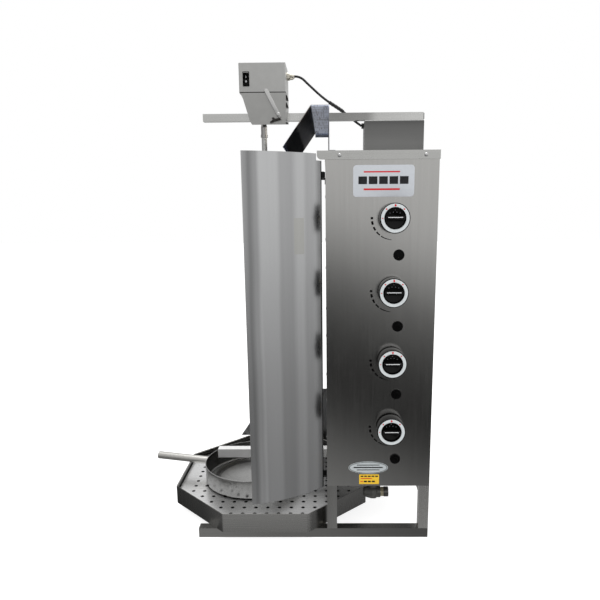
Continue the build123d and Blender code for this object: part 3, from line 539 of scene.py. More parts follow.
looks = {
    "frame_steel": steel("frame_steel", WARM, "x", 0.22, smudges=0.03, stain=0.06, shade=base_shade),
    # post_steel is the frame's warm steel made lighter: a lit copy, painted light on the posts
    "post_steel": steel("post_steel", scaled(WARM, 1.45), "z", 0.24, smudges=0.03, stain=0.06, shade=post_shade),
    "panel_steel": steel("panel_steel", WARM, "z", 0.15, streaks=0.015, smudges=0.02),
    "side_steel": steel("side_steel", WARM, "z", 0.22, streaks=0.03, smudges=0.05, wave=0.2),
    "burner_sheet": steel(
        "burner_sheet", WARM, "y", 0.28, streaks=0.05, smudges=0.08, stain=0.5, shade=burner_glow_marks
    ),
    "lid_steel": steel("lid_steel", (0.72, 0.72, 0.70), "x", 0.24, streaks=0.03, smudges=0.04),
    "arm_steel": steel("arm_steel", (0.86, 0.86, 0.84), "x", 0.24, smudges=0.04, shade=arm_shade),
    "lower_arm_steel": steel("lower_arm_steel", (1.0, 1.0, 0.99), "x", 0.58, smudges=0.02),
    "riser_steel": steel("riser_steel", (0.27, 0.27, 0.265), "x", 0.34, smudges=0.03, shade=riser_shade),
    "mirror_steel": bent_mirror("mirror_steel"),
    "shield_steel": steel("shield_steel", (0.74, 0.745, 0.75), "z", 0.17, streaks=0.012, smudges=0.02, shade=shield_painted_reflections),
    "guard_steel": steel("guard_steel", scaled(COOL, 0.45), "x", 0.24, stain=0.2),
    "tray_steel": steel("tray_steel", WARM, "x", 0.26, smudges=0.02, stain=0.03, shade=tray_shadow),
    "insert_steel": steel("insert_steel", (0.86, 0.86, 0.86), "x", 0.27, smudges=0.015, shade=insert_shade),
    "pan_steel": steel("pan_steel", (0.68, 0.68, 0.67), "none", 0.27, smudges=0.015, shade=pan_shade),
    "handle_steel": steel("handle_steel", (0.66, 0.65, 0.62), "x", 0.28, smudges=0.015),
    "bracket_steel": steel("bracket_steel", (0.56, 0.56, 0.545), "none", 0.42, smudges=0.02),
    "cover_steel": steel("cover_steel", (0.64, 0.64, 0.625), "none", 0.42, smudges=0.02),
    "lever_steel": steel("lever_steel", (0.72, 0.72, 0.71), "none", 0.20, smudges=0.04),
    "hook_steel": steel("hook_steel", (0.16, 0.155, 0.15), "none", 0.30, stain=0.4),
    "burnt_steel": casting("burnt_steel", (0.020, 0.018, 0.016), 0.3, 0.45),
    "hinge_steel": steel("hinge_steel", (0.10, 0.10, 0.10), "z", 0.38, stain=0.3),
    "coupling_steel": steel("coupling_steel", (0.50, 0.49, 0.48), "none", 0.20, stain=0.5),
    "skewer_steel": steel("skewer_steel", (0.80, 0.80, 0.78), "z", 0.42, stain=0.1),
    "carriage_steel": steel("carriage_steel", WARM, "x", 0.28, stain=0.2),
    "burner_steel": steel("burner_steel", (0.45, 0.44, 0.43), "y", 0.40, stain=0.6),
    "screen_steel": steel("screen_steel", (0.35, 0.31, 0.29), "none", 0.45, stain=0.8),
    "screw_chrome": steel("screw_chrome", (0.76, 0.76, 0.76), "none", 0.14),
    "brass": steel("brass", (0.72, 0.58, 0.33), "none", 0.30, stain=0.3),
    "inlet_brass": steel("inlet_brass", (0.84, 0.76, 0.55), "none", 0.30, stain=0.2),
    "gland_brass": steel("gland_brass", (0.86, 0.82, 0.72), "none", 0.34),
    "manifold_paint": casting("manifold_paint", (0.05, 0.05, 0.055), 0.0, 0.45),
    "regulator_paint": casting("regulator_paint", (0.09, 0.09, 0.085), 0.6, 0.42),
    "gearbox_paint": casting("gearbox_paint", (0.10, 0.11, 0.12), 0.2, 0.45),
    "black_plastic": plastic("black_plastic", (0.002, 0.002, 0.002), 0.26, wear=0.01, Specular_IOR_Level=0.10),
    "knob_black": plastic("knob_black", (0.002, 0.002, 0.002), 0.12, bump=0.02, wear=0.01, Specular_IOR_Level=0.22),
    "button_black": plastic("button_black", (0.002, 0.002, 0.002), 0.18, bump=0.03, wear=0.01, Specular_IOR_Level=0.10),
    "rubber": plastic("rubber", (0.010, 0.010, 0.010), 0.55, bump=0.3, wear=0.08),
    "cable_rubber": plastic("cable_rubber", (0.008, 0.008, 0.009), 0.45, grain=600.0, bump=0.2, wear=0.06),
    "dial_white": printed("dial_white", (0.53, 0.56, 0.57), 0.35),
    "print_red": printed("print_red", (0.52, 0.006, 0.012)),
    "print_black": printed("print_black", (0.006, 0.006, 0.008)),
    "ink_black": plastic("ink_black", (0.001, 0.001, 0.001), 0.6, bump=0.02, wear=0.0, Specular_IOR_Level=0.05),
    "print_grey": printed("print_grey", (0.12, 0.125, 0.14)),
    "print_white": printed("print_white", (0.62, 0.63, 0.64)),
    "foil": printed("foil", (0.46, 0.48, 0.51), 0.34),
    "foil_grey": printed("foil_grey", (0.40, 0.43, 0.44), 0.30),
    "foil_yellow": printed("foil_yellow", (0.70, 0.44, 0.015), 0.42),
    "weld": steel("weld", (0.55, 0.53, 0.49), "none", 0.30, smudges=0.1, stain=0.5),
}


def perforated(name, colour):
    """Ceramic tile with rows of small burner ports."""
    look = Look(name, colour, roughness=0.85)
    pores = look.noise((700.0, 700.0, 700.0), detail=3.0)
    across = look.maths("SINE", look.maths("MULTIPLY", look.axis("Y"), 2 * pi / 0.0034))
    up = look.maths("SINE", look.maths("MULTIPLY", look.axis("Z"), 2 * pi / 0.0034))
    ports = look.spread(look.maths("MULTIPLY", across, up), 0.45, 0.62)
    scorch = look.noise((14.0, 14.0, 14.0), detail=4.0)
    worn = look.blend(look.spread(scorch, 0.45, 0.75, 0.0, 0.5), colour, scaled(colour, 0.5))
    # painted shade: the ports are painted dark, as the shade inside the holes
    look.paint(look.blend(ports, worn, (0.05, 0.042, 0.035)))
    look.gloss(look.spread(pores, 0.3, 0.7, 0.78, 0.92))
    look.relief(look.maths("SUBTRACT", pores, ports), 0.5, 0.0006)
    return look


looks["ceramic"] = perforated("ceramic", (0.72, 0.66, 0.55))

node_looks = {
    "base_tubes": "frame_steel",
    "posts": "post_steel",
    "cross_bars": "frame_steel",
    "lower_arm": "lower_arm_steel",
    "upper_arm": "arm_steel",
    "tube_caps": "black_plastic",
    "control_panel": "panel_steel",
    "far_panel": "side_steel",
    "rear_panel": "side_steel",
    "burner_frame": "burner_sheet",
    "cabinet_floor": "side_steel",
    "lid": "lid_steel",
    "lid_screws": "screw_chrome",
    "riser": "riser_steel",
    "heat_deflector": "mirror_steel",
    "cable_grommet": "rubber",
    "burner_bodies": "burner_steel",
    "burner_tiles": "ceramic",
    "burner_screens": "screen_steel",
    "gas_manifold": "manifold_paint",
    "gas_valves": "brass",
    "gas_regulator": "regulator_paint",
    "inlet_nipple": "inlet_brass",
    "igniter_bezels": "black_plastic",
    "label_plates": "foil",
    "hinge_brackets": "hinge_steel",
    "near_shield": "shield_steel",
    "splash_guard": "guard_steel",
    "drip_tray": "tray_steel",
    "tray_insert": "insert_steel",
    "catch_pan": "pan_steel",
    "pan_handle": "handle_steel",
    "motor_bracket": "bracket_steel",
    "motor_cover": "cover_steel",
    "gearmotor": "gearbox_paint",
    "rocker_switch": "button_black",
    "cable_gland": "gland_brass",
    "clamp_lever": "lever_steel",
    "drive_coupling": "coupling_steel",
    "skewer_rod": "skewer_steel",
    "lower_carriage": "carriage_steel",
    "motor_cable": "cable_rubber",
}
for number in range(1, 5):
    node_looks[f"knob_{number}"] = "knob_black"
    node_looks[f"dial_ring_{number}"] = "dial_white"
    node_looks[f"valve_stem_{number}"] = "brass"
    node_looks[f"igniter_button_{number}"] = "button_black"

for node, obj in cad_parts.items():
    material = looks[node_looks[node]].material
    if not obj.material_slots:
        obj.data.materials.append(material)
    for held in obj.material_slots:
        held.material = material

# ---- supply cable -------------------------------------------------------------------
CABLE_ROUTE = [
    (-0.043, 0.017, 1.170),
    (-0.028, 0.017, 1.170),
    (-0.007, 0.017, 1.150),
    (0.036, 0.017, 1.112),
    (0.084, 0.017, 1.083),
    (0.112, 0.017, 1.059),
    (0.133, 0.017, 1.045),
]
CABLE_RADIUS = 0.003


def smooth_line(route, resolution=24):
    """Points along the NURBS spline that has the route as its control points."""
    data = bpy.data.curves.new("route", "CURVE")
    data.dimensions = "3D"
    spline = data.splines.new("NURBS")
    spline.points.add(len(route) - 1)
    for point, place in zip(spline.points, route):
        point.co = (*place, 1.0)
    spline.order_u = 3
    spline.use_endpoint_u = True
    spline.resolution_u = resolution
    carrier = bpy.data.objects.new("route", data)
    bpy.context.collection.objects.link(carrier)
    bpy.context.view_layer.update()
    evaluated = carrier.evaluated_get(bpy.context.evaluated_depsgraph_get())
    mesh = bpy.data.meshes.new_from_object(evaluated)
    points = [v.co.copy() for v in mesh.vertices]
    bpy.data.objects.remove(carrier)
    bpy.data.meshes.remove(mesh)
    return points


def across_joint(name, shape, look):
    """A mesh that runs between the motor carriage and the frame; it is attached to neither."""
    verts, faces = shape
    mesh = bpy.data.meshes.new(name)
    mesh.from_pydata([tuple(v) for v in verts], [], faces)
    mesh.update()
    for face in mesh.polygons:
        face.use_smooth = True
    mesh.materials.append(look.material)
    obj = bpy.data.objects.new(name, mesh)
    bpy.context.collection.objects.link(obj)
    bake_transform(obj)
    return obj


line = smooth_line(CABLE_ROUTE)
sleeve_line = [p for p in line if 0.046 < p.x < 0.086]
sleeve_radii = [0.0044 + 0.0003 * sin(i * 1.3) for i in range(len(sleeve_line))]
sleeve_radii[0] = sleeve_radii[-1] = 0.0036
sleeve = across_joint(
    "cable_sleeve", tube(sleeve_line, sleeve_radii), looks["rubber"]
)
cable = across_joint("supply_cable", tube(line, CABLE_RADIUS), looks["cable_rubber"])
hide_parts("motor_cable")

# ---- knobs --------------------------------------------------------------------------
PANEL = -0.245
OUT = (0, -1, 0)


def on_panel(u, v, w):
    """A point on the control panel, w out from its face."""
    return Vector((u, PANEL - w, v))


def marks_at(turn, size, mid, reach=0.0281):
    """A small diamond printed on the dial ring, at a clock angle."""
    u = mid.x + reach * sin(turn)
    v = mid.z + reach * cos(turn)
    tall = Vector((sin(turn), cos(turn))) * size
    wide = Vector((cos(turn), -sin(turn))) * size * 0.75
    place = Vector((u, v))
    corners = [place + tall, place + wide, place - tall * 0.8, place - wide]
    return prism([tuple(c) for c in corners], on_panel, 0.03795, 0.0381)


SKIRT = [
    (0.0041, 0.0305),
    (0.0041, 0.0066),
    (0.0100, 0.0060),
    (0.0327, 0.0060),
    (0.0340, 0.0070),
    (0.0342, 0.0085),
    (0.0340, 0.0364),
    (0.0338, 0.0371),
    (0.0333, 0.0374),
    (0.0322, 0.0374),
    (0.0321, 0.0360),
    (0.0236, 0.0360),
    (0.0228, 0.0357),
    (0.0225, 0.0318),
    (0.0217, 0.0312),
    (0.0001, 0.0312),
]
COLLAR = [
    (0.0228, 0.0352),
    (0.0244, 0.0362),
    (0.0244, 0.0386),
    (0.0240, 0.0391),
    (0.0231, 0.0391),
    (0.0225, 0.0384),
    (0.0219, 0.0330),
    (0.0219, 0.0314),
    (0.0228, 0.0352),
]
RING = [
    (0.0246, 0.0362),
    (0.0246, 0.0377),
    (0.0249, 0.0380),
    (0.0317, 0.0380),
    (0.0320, 0.0377),
    (0.0320, 0.0362),
    (0.0246, 0.0362),
]
GRIP = [
    (0.0215, 0.0058, 0.0313),
    (0.0215, 0.0055, 0.0340),
    (0.0213, 0.0050, 0.0410),
    (0.0209, 0.0045, 0.0428),
    (0.0202, 0.0038, 0.0437),
    (0.0192, 0.0028, 0.0440),
]


def grip_ring(mid, half_width, half_height, along):
    """One level of the grip bar, with ends that follow the round dish."""
    points = []
    lean = half_height / half_width
    for start in (-lean, pi - lean):
        for step in range(9):
            turn = start + 2 * lean * step / 8
            points.append(on_panel(mid.x + half_width * cos(turn), mid.z + half_width * sin(turn), along))
    return points


for number in range(1, 5):
    mid = centre(f"dial_ring_{number}")
    body = f"knob_{number}"
    base = (mid.x, PANEL, mid.z)
    skirt = piece(f"skirt_{number}", *lathe(SKIRT, base, OUT, 96), looks["knob_black"].material, body, "knob_black")
    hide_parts(f"knob_{number}")
    rings = [grip_ring(mid, *level) for level in GRIP]
    piece(f"grip_{number}", *loft(rings), looks["knob_black"].material, body, "knob_black")
    # a pale strip on the grip's top edge: a painted highlight
    highlight_strip = rounded(mid.x - 0.0165, mid.x + 0.0165, mid.z + 0.0010, mid.z + 0.0026, 0.0006, 3)
    piece(
        f"grip_highlight_{number}",
        *prism(highlight_strip, on_panel, 0.0436, 0.04415),
        looks["print_white"].material,
        body,
        "dial_white",
        smooth=False,
    )
    piece(
        f"collar_{number}",
        *lathe(COLLAR, base, OUT, 96, cap=False),
        looks["knob_black"].material,
        body,
        "knob_black",
    )
    ring = piece(
        f"dial_{number}", *lathe(RING, base, OUT, 128, cap=False), looks["dial_white"].material, body, "dial_white"
    )
    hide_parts(f"dial_ring_{number}")
    clock = [(0, 0.0036), (-45, 0.0026), (45, 0.0026), (-90, 0.0020)]
    marks = [marks_at(radians(turn), size, mid) for turn, size in clock]
    studs = []
    for across_dish, up_dish in ((-0.0115, 0.0115), (-0.004, 0.0135), (0.004, 0.0135), (0.0115, 0.0115), (0.0, 0.0185)):
        stud = [(0.0011, 0.0311), (0.0011, 0.0318), (0.0007, 0.0322), (0.0001, 0.0323)]
        studs.append(lathe(stud, (mid.x + across_dish, PANEL, mid.z + up_dish), OUT, 12))
    piece(f"dish_studs_{number}", *merge(*studs), looks["print_grey"].material, body, "knob_black")
    piece(f"dial_marks_{number}", *merge(*marks), looks["print_red"].material, body, "dial_white", smooth=False)

# ---- prints and labels --------------------------------------------------------------
FOIL = 0.0006
INK = 0.00014
DASHES = [
    (177.0, 183.0, 0.0058, 0.0058),
    (188.0, 197.5, 0.0052, 0.0050),
    (204.0, 214.0, 0.0046, 0.0040),
    (219.5, 231.5, 0.0036, 0.0030),
    (236.0, 266.0, 0.0026, 0.0010),
]


def dash(mid, start, end, thick_start, thick_end, radius=0.0495):
    """A curved dash of the heat scale beside a knob."""
    steps = 8
    outer = []
    inner = []
    for step in range(steps + 1):
        share = step / steps
        turn = radians(start + (end - start) * share)
        half = (thick_start + (thick_end - thick_start) * share) / 2
        for side, points in ((half, outer), (-half, inner)):
            reach = radius + side
            points.append((mid.x + reach * cos(turn), mid.z + reach * sin(turn)))
    return prism(outer + inner[::-1], on_panel, 0.0, INK)


for number in range(1, 5):
    mid = centre(f"dial_ring_{number}")
    scale = merge(*[dash(mid, *row) for row in DASHES])
    piece(f"heat_scale_{number}", *scale, looks["ink_black"].material, "frame", "panel_steel", smooth=False)


def bar(low_u, high_u, low_v, high_v, back=FOIL, thick=INK):
    """A printed bar on a label."""
    return prism(rounded(low_u, high_u, low_v, high_v, 0.0004, 2), on_panel, back, back + thick)


name_plate = piece(
    "name_plate",
    *prism(rounded(0.100, 0.239, 0.856, 0.926, 0.008), on_panel, 0.0, FOIL),
    looks["foil"].material,
    "frame",
    "label_foil",
    bevel=0.0002,
)
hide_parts("label_plates")
blocks = [bar(0.112 + 0.0235 * k, 0.1315 + 0.0235 * k, 0.884, 0.901) for k in range(5)]
piece("name_blocks", *merge(*blocks), looks["print_black"].material, "frame", "label_foil", smooth=False)
rules = [bar(0.124, 0.206, 0.9095, 0.9125), bar(0.124, 0.206, 0.8705, 0.8745)]
piece("name_rules", *merge(*rules), looks["print_red"].material, "frame", "label_foil", smooth=False)

oval = [
    (0.1405 + 0.0495 * cos(2 * pi * k / 72), 0.1925 + 0.0165 * sin(2 * pi * k / 72)) for k in range(72)
]
piece(
    "oval_plate", *prism(oval, on_panel, 0.0, FOIL), looks["foil_grey"].material, "frame", "label_foil", bevel=0.0002
)
inner_oval = [(0.1405 + (u - 0.1405) * 0.94, 0.1925 + (v - 0.1925) * 0.86) for u, v in oval]
outer_oval = [(0.1405 + (u - 0.1405) * 0.97, 0.1925 + (v - 0.1925) * 0.93) for u, v in oval]
border_verts = []
border_faces = []
count = len(oval)
for ring_points in (outer_oval, inner_oval):
    border_verts.extend(on_panel(u, v, FOIL + INK) for u, v in ring_points)
for k in range(count):
    nxt = (k + 1) % count
    border_faces.append((k, nxt, count + nxt, count + k))
lines = [(0.112, 0.169, 0.1985, 0.2005), (0.104, 0.177, 0.1915, 0.1945), (0.112, 0.169, 0.1855, 0.1875)]
ovals = merge((border_verts, border_faces), *[bar(*row) for row in lines])
piece("oval_lines", *ovals, looks["print_black"].material, "frame", "label_foil", smooth=False)

piece(
    "caution_plate",
    *prism(rounded(0.118, 0.168, 0.148, 0.174, 0.0008, 3), on_panel, 0.0, FOIL),
    looks["foil_yellow"].material,
    "frame",
    "label_foil",
    bevel=0.0002,
)
dark_rows = [bar(0.1215 + 0.0092 * k, 0.1285 + 0.0092 * k, 0.1675, 0.1710) for k in range(5)]
dark_rows += [bar(0.1300 + 0.0100 * k, 0.1375 + 0.0100 * k, 0.1530, 0.1572) for k in range(3)]
piece("caution_rows", *merge(*dark_rows), looks["print_black"].material, "frame", "label_foil", smooth=False)
red_rows = [bar(0.1215, 0.1500, 0.1622, 0.1642), bar(0.1215, 0.1280, 0.1540, 0.1560)]
piece("caution_marks", *merge(*red_rows), looks["print_red"].material, "frame", "label_foil", smooth=False)

# ---- screws -------------------------------------------------------------------------
DOME = [
    (0.0044, 0.0),
    (0.0043, 0.0007),
    (0.0037, 0.0015),
    (0.0026, 0.0021),
    (0.0017, 0.0022),
    (0.0014, 0.0012),
    (0.0001, 0.0012),
]
lid_low, lid_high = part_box("lid")
heads = []
for x in (0.069, 0.264):
    for y, out in ((lid_low[1], -1), (lid_high[1], 1)):
        heads.append(lathe(DOME, (x, y, 0.9475), (0, out, 0), 28))
screws = piece("lid_screw_heads", *merge(*heads), looks["screw_chrome"].material, "frame", "screw_chrome")
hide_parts("lid_screws")
rear_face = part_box("rear_panel")[1][0]
rear_heads = []
for y in (-0.228, 0.0, 0.228):
    for z in (0.165, 0.550, 0.925):
        rear_heads.append(lathe(DOME, (rear_face, y, z), (1, 0, 0), 28))
piece("rear_screw_heads", *merge(*rear_heads), looks["screw_chrome"].material, "frame", "screw_chrome")
front_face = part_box("burner_frame")[0][0]
front_heads = []
for number in range(1, 5):
    mid = centre(f"dial_ring_{number}")
    for y in (-0.185, 0.185):
        for rise in (-0.05, 0.05):
            front_heads.append(lathe(DOME, (front_face, y, mid.z + rise), (-1, 0, 0), 28))
piece("burner_screw_heads", *merge(*front_heads), looks["screw_chrome"].material, "frame", "screw_chrome")

# ---- motor carriage -----------------------------------------------------------------
cover_low, cover_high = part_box("motor_cover")
gland_place = (cover_high[0], 0.017, 1.170)
DOME_NUT = [
    (0.0088, 0.0060),
    (0.0092, 0.0066),
    (0.0092, 0.0080),
    (0.0080, 0.0084),
    (0.0080, 0.0094),
    (0.0090, 0.0098),
    (0.0090, 0.0112),
    (0.0078, 0.0116),
    (0.0078, 0.0126),
    (0.0086, 0.0130),
    (0.0084, 0.0146),
    (0.0066, 0.0160),
    (0.0060, 0.0186),
    (0.0046, 0.0190),
    (0.0032, 0.0190),
]
hexagon = [(0.0105 * cos(radians(30 + 60 * k)), 0.0105 * sin(radians(30 + 60 * k))) for k in range(6)]


def off_cover(u, v, w):
    """A point off the cover's right end, w out from its face, about the gland."""
    return Vector((gland_place[0] + w, gland_place[1] + u, gland_place[2] + v))


neck = [(0.0068, -0.0058), (0.0068, 0.0001)]
gland = merge(
    prism(hexagon, off_cover, 0.0, 0.006),
    lathe(DOME_NUT, gland_place, (1, 0, 0), 48),
    lathe(neck, gland_place, (1, 0, 0), 32),
    prism([(u * 0.9, v * 0.9) for u, v in hexagon], off_cover, -0.0052, -0.0013),
)
gland_piece = piece("ribbed_gland", *gland, looks["gland_brass"].material, "motor_carriage", "gland_brass", bevel=0.0004)
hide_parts("cable_gland")

face = cover_low[1]


def on_cover(u, v, w):
    """A point on the cover's front, w out from its face."""
    return Vector((u, face - w, v))


switch_low, switch_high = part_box("rocker_switch")
around = 0.0012
bezel_out = rounded(-0.1692, -0.1528, 1.1327, 1.1676, 0.0010, 3)
bezel_in = rounded(-0.1678, -0.1542, 1.1341, 1.1664, 0.0006, 3)
bezel_levels = [
    [on_cover(u, v, 0.0) for u, v in bezel_out],
    [on_cover(u, v, around) for u, v in bezel_out],
    [on_cover(u, v, around) for u, v in bezel_in],
    [on_cover(u, v, 0.0) for u, v in bezel_in],
    [on_cover(u, v, 0.0) for u, v in bezel_out],
]
bezel_verts, bezel_faces = loft(bezel_levels)
piece(
    "switch_bezel",
    bezel_verts,
    bezel_faces[1:-1],
    looks["button_black"].material,
    "motor_carriage",
    "switch_plastic",
)


def on_rocker(u, v, lift=0.00012):
    """A point just off the rocker's slanted front."""
    upper = max(0.0, v - 1.1495) * 0.0035 / 0.0143
    lower = max(0.0, 1.1495 - v) * 0.0005 / 0.0143
    return Vector((u, face - 0.0010 - upper - lower - lift, v))


stroke = [on_rocker(-0.0005 + u - 0.1605, v) for u, v in ((0, 1.1525), (0.0009, 1.1525), (0.0009, 1.1568), (0, 1.1568))]
circle = []
for radius in (0.0021, 0.0013):
    turns = [2 * pi * k / 24 for k in range(24)]
    circle.extend(on_rocker(-0.1606 + radius * cos(t), 1.1443 + radius * sin(t)) for t in turns)
circle_faces = [(k, (k + 1) % 24, 24 + (k + 1) % 24, 24 + k) for k in range(24)]
marks = merge((stroke, [(0, 1, 2, 3)]), (circle, circle_faces))
piece("switch_marks", *marks, looks["print_white"].material, "rocker_switch", "dial_white", smooth=False)

# a thin black band under the cover's foot: a painted shadow in the gap between cover and bracket
seam_out = rounded(cover_low[0] + 0.0002, cover_high[0] - 0.0002, cover_low[1] + 0.0002, cover_high[1] - 0.0002, 0.002, 4)
seam_in = rounded(cover_low[0] + 0.0040, cover_high[0] - 0.0040, cover_low[1] + 0.0040, cover_high[1] - 0.0040, 0.002, 4)
seam_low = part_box("motor_cover")[0][2] - 0.00198
seam_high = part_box("motor_cover")[0][2] - 0.00002
seam_levels = [
    [Vector((u, v, level)) for u, v in outline]
    for outline, level in ((seam_out, seam_low), (seam_out, seam_high), (seam_in, seam_high), (seam_in, seam_low), (seam_out, seam_low))
]
seam_verts, seam_faces = loft(seam_levels)
piece("cover_shadow_gap", seam_verts, seam_faces[1:-1], looks["ink_black"].material, "motor_carriage", "black_rubber")

bracket_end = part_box("motor_bracket")[1][0]
hoods = []
for low in (1.086, 1.104):
    rings = []
    for y in (-0.049, -0.0195):
        rings.append(
            [
                Vector((bracket_end - 0.0002, y, low - 0.001)),
                Vector((bracket_end + 0.0045, y, low - 0.001)),
                Vector((bracket_end + 0.0050, y, low + 0.0004)),
                Vector((bracket_end + 0.0012, y, low + 0.0092)),
                Vector((bracket_end - 0.0002, y, low + 0.0095)),
            ]
        )
    hoods.append(loft(rings))
piece("louvre_hoods", *merge(*hoods), looks["burnt_steel"].material, "motor_carriage", "bracket_steel", bevel=0.0006)

PIVOT = Vector((-0.082, 1.0655))
LEAN = Vector((-0.030, 0.0575)).normalized()
ACROSS = Vector((LEAN.y, -LEAN.x))


def along_lever(s, t):
    """A point of the lever's outline: s along it from the screw, t across it."""
    spot = PIVOT + LEAN * s + ACROSS * t
    return (spot.x, spot.y)


lever_outline = [
    along_lever(-0.0085, -0.0032),
    along_lever(-0.0100, 0.0000),
    along_lever(-0.0085, 0.0036),
    along_lever(0.0000, 0.0047),
    along_lever(0.0300, 0.0050),
    along_lever(0.0620, 0.0056),
    along_lever(0.0665, 0.0040),
    along_lever(0.0682, -0.0010),
    along_lever(0.0660, -0.0046),
    along_lever(0.0300, -0.0048),
    along_lever(0.0000, -0.0045),
]
lever = piece(
    "lever_bar",
    *prism(lever_outline, on_cover, 0.0006, 0.0036),
    looks["lever_steel"].material,
    "clamp_lever",
    "lever_steel",
    bevel=0.0009,
)
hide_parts("clamp_lever")
BOLT = [(0.0039, -0.0440), (0.0039, 0.0036), (0.0046, 0.0037), (0.0046, 0.0052), (0.0038, 0.0060), (0.0001, 0.0062)]
piece(
    "lever_bolt",
    *lathe(BOLT, (PIVOT.x, face, PIVOT.y), OUT, 32),
    looks["lever_steel"].material,
    "clamp_lever",
    "lever_steel",
)
hook = [
    along_lever(-0.0090, -0.0020),
    along_lever(-0.0150, 0.0020),
    (-0.0935, 1.0475),
    (-0.1020, 1.0440),
    (-0.1030, 1.0470),
    (-0.0960, 1.0520),
    (-0.0985, 1.0560),
    (-0.0950, 1.0580),
    (-0.0890, 1.0545),
]
piece(
    "lever_hook",
    *prism(hook, on_cover, 0.0038, 0.0062),
    looks["burnt_steel"].material,
    "clamp_lever",
    "lever_steel",
    bevel=0.0006,
)

# ---- catch pan ----------------------------------------------------------------------
pan_mid = centre("catch_pan")
pan_low, pan_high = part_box("catch_pan")
floor_z = pan_low[2]
rim_z = pan_high[2]
PAN_PROFILE = [
    (0.0001, floor_z),
    (0.1345, floor_z),
    (0.1375, floor_z + 0.0008),
    (0.1398, floor_z + 0.0028),
    (0.1409, floor_z + 0.0060),
    (0.1410, rim_z - 0.0030),
    (0.1411, rim_z - 0.0008),
    (0.1407, rim_z),
    (0.1396, rim_z - 0.0001),
    (0.1392, rim_z - 0.0012),
    (0.1394, rim_z - 0.0030),
    (0.1393, floor_z + 0.0072),
    (0.1380, floor_z + 0.0040),
    (0.1350, floor_z + 0.0019),
    (0.1310, floor_z + 0.0015),
    (0.1130, floor_z + 0.0015),
    (0.1105, floor_z + 0.0021),
    (0.1080, floor_z + 0.0021),
    (0.1055, floor_z + 0.0015),
    (0.0001, floor_z + 0.0015),
]
pan = piece(
    "round_pan",
    *lathe([(r, z - pan_mid.z) for r, z in PAN_PROFILE], pan_mid, (0, 0, 1), 160),
    looks["pan_steel"].material,
    "catch_pan",
    "pan_steel",
)
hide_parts("catch_pan")

# ---- insert's punched holes: a rolled edge round each one, black as painted shade in the holes ---
insert_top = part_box("tray_insert")[1][2]
PITCH = 0.031
limit = 0.2435
hole_shade_sleeves = []
HOLE_SHADE_SLEEVE = [(0.0040, -0.0014), (0.0040, -0.00005), (0.0043, 0.00022), (0.0047, 0.00018), (0.0050, -0.00005)]
for row in range(-9, 9):
    y = (row + 0.5) * PITCH
    for column in range(-9, 10):
        x = column * PITCH
        slant = (abs(x) + abs(y)) * 0.70711
        if max(abs(x), abs(y), slant) < limit:
            hole_shade_sleeves.append(lathe(HOLE_SHADE_SLEEVE, (TRAY_X + x, y, insert_top), (0, 0, 1), 16, cap=False))
# the rolled edges are black: painted shade in the holes
piece("hole_shade_edges", *merge(*hole_shade_sleeves), looks["ink_black"].material, "drip_tray", "insert_steel")

# ---- rims, welds and fittings -------------------------------------------------------


def bead(points, radius=0.0016, steps=10):
    """A weld bead along a line, with a slightly uneven ripple."""
    path = []
    radii = []
    for start, end in zip(points, points[1:]):
        start = Vector(start)
        end = Vector(end)
        for step in range(steps):
            share = step / steps
            path.append(start.lerp(end, share))
            radii.append(radius * (1 + 0.22 * sin(2.4 * len(path)) + 0.1 * sin(5.1 * len(path))))
    path.append(Vector(points[-1]))
    radii.append(radius * 0.6)
    radii[0] = radius * 0.6
    return tube(path, radii, 8)


tray_low, tray_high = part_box("drip_tray")
apothem = (tray_high[1] - tray_low[1]) / 2 - 0.0012
corner_reach = apothem / cos(pi / 8)
rim_points = []
for k in range(8):
    turn = pi / 8 + k * pi / 4
    rim_points.append(Vector((TRAY_X + corner_reach * cos(turn), corner_reach * sin(turn), tray_high[2] - 0.0012)))
rim_points.append(rim_points[0])
rim = []
for start, end in zip(rim_points, rim_points[1:]):
    rim.append(tube([start, end], 0.0012, 12))
piece("tray_rim", *merge(*rim), looks["handle_steel"].material, "drip_tray", "tray_steel")

welds = []
for y in (-0.245, 0.220):
    for x in (0.037, 0.270):
        z = 0.0252
        welds.append(bead([(x, y + 0.0004, z), (x, y + 0.0246, z)]))
        welds.append(bead([(x + 0.0242, y + 0.0004, z), (x + 0.0242, y + 0.0246, z)], radius=0.0013))
for y in (-0.0125, 0.0125):
    welds.append(bead([(0.0368, y, 0.119), (0.0368, y, 0.142)]))
for x in (0.037, 0.270):
    for y in (-0.2198, 0.2198):
        welds.append(bead([(x + 0.0004, y, 0.1182), (x + 0.0246, y, 0.1182)]))
piece("weld_beads", *merge(*welds), looks["weld"].material, "frame", "frame_steel")

root = Vector((-0.176 + 0.1412 * cos(radians(170)), -0.019 + 0.1412 * sin(radians(170)), 0.101))
reach_axis = Vector((cos(radians(170)), sin(radians(170)), 0.038)).normalized()
side_axis = reach_axis.cross(Vector((0, 0, 1))).normalized()
up_axis_handle = side_axis.cross(reach_axis)
weld_ring = []
for k in range(41):
    turn = 2 * pi * k / 40
    spot = root + (side_axis * cos(turn) + up_axis_handle * sin(turn)) * 0.0112
    flat = Vector((spot.x + 0.176, spot.y + 0.019))
    flat = flat.normalized() * 0.1412
    weld_ring.append(Vector((flat.x - 0.176, flat.y - 0.019, spot.z)))
weld_radii = [0.0014 * (1 + 0.2 * sin(2.9 * k)) for k in range(41)]
piece("handle_weld", *tube(weld_ring, weld_radii, 8), looks["weld"].material, "catch_pan", "handle_steel")

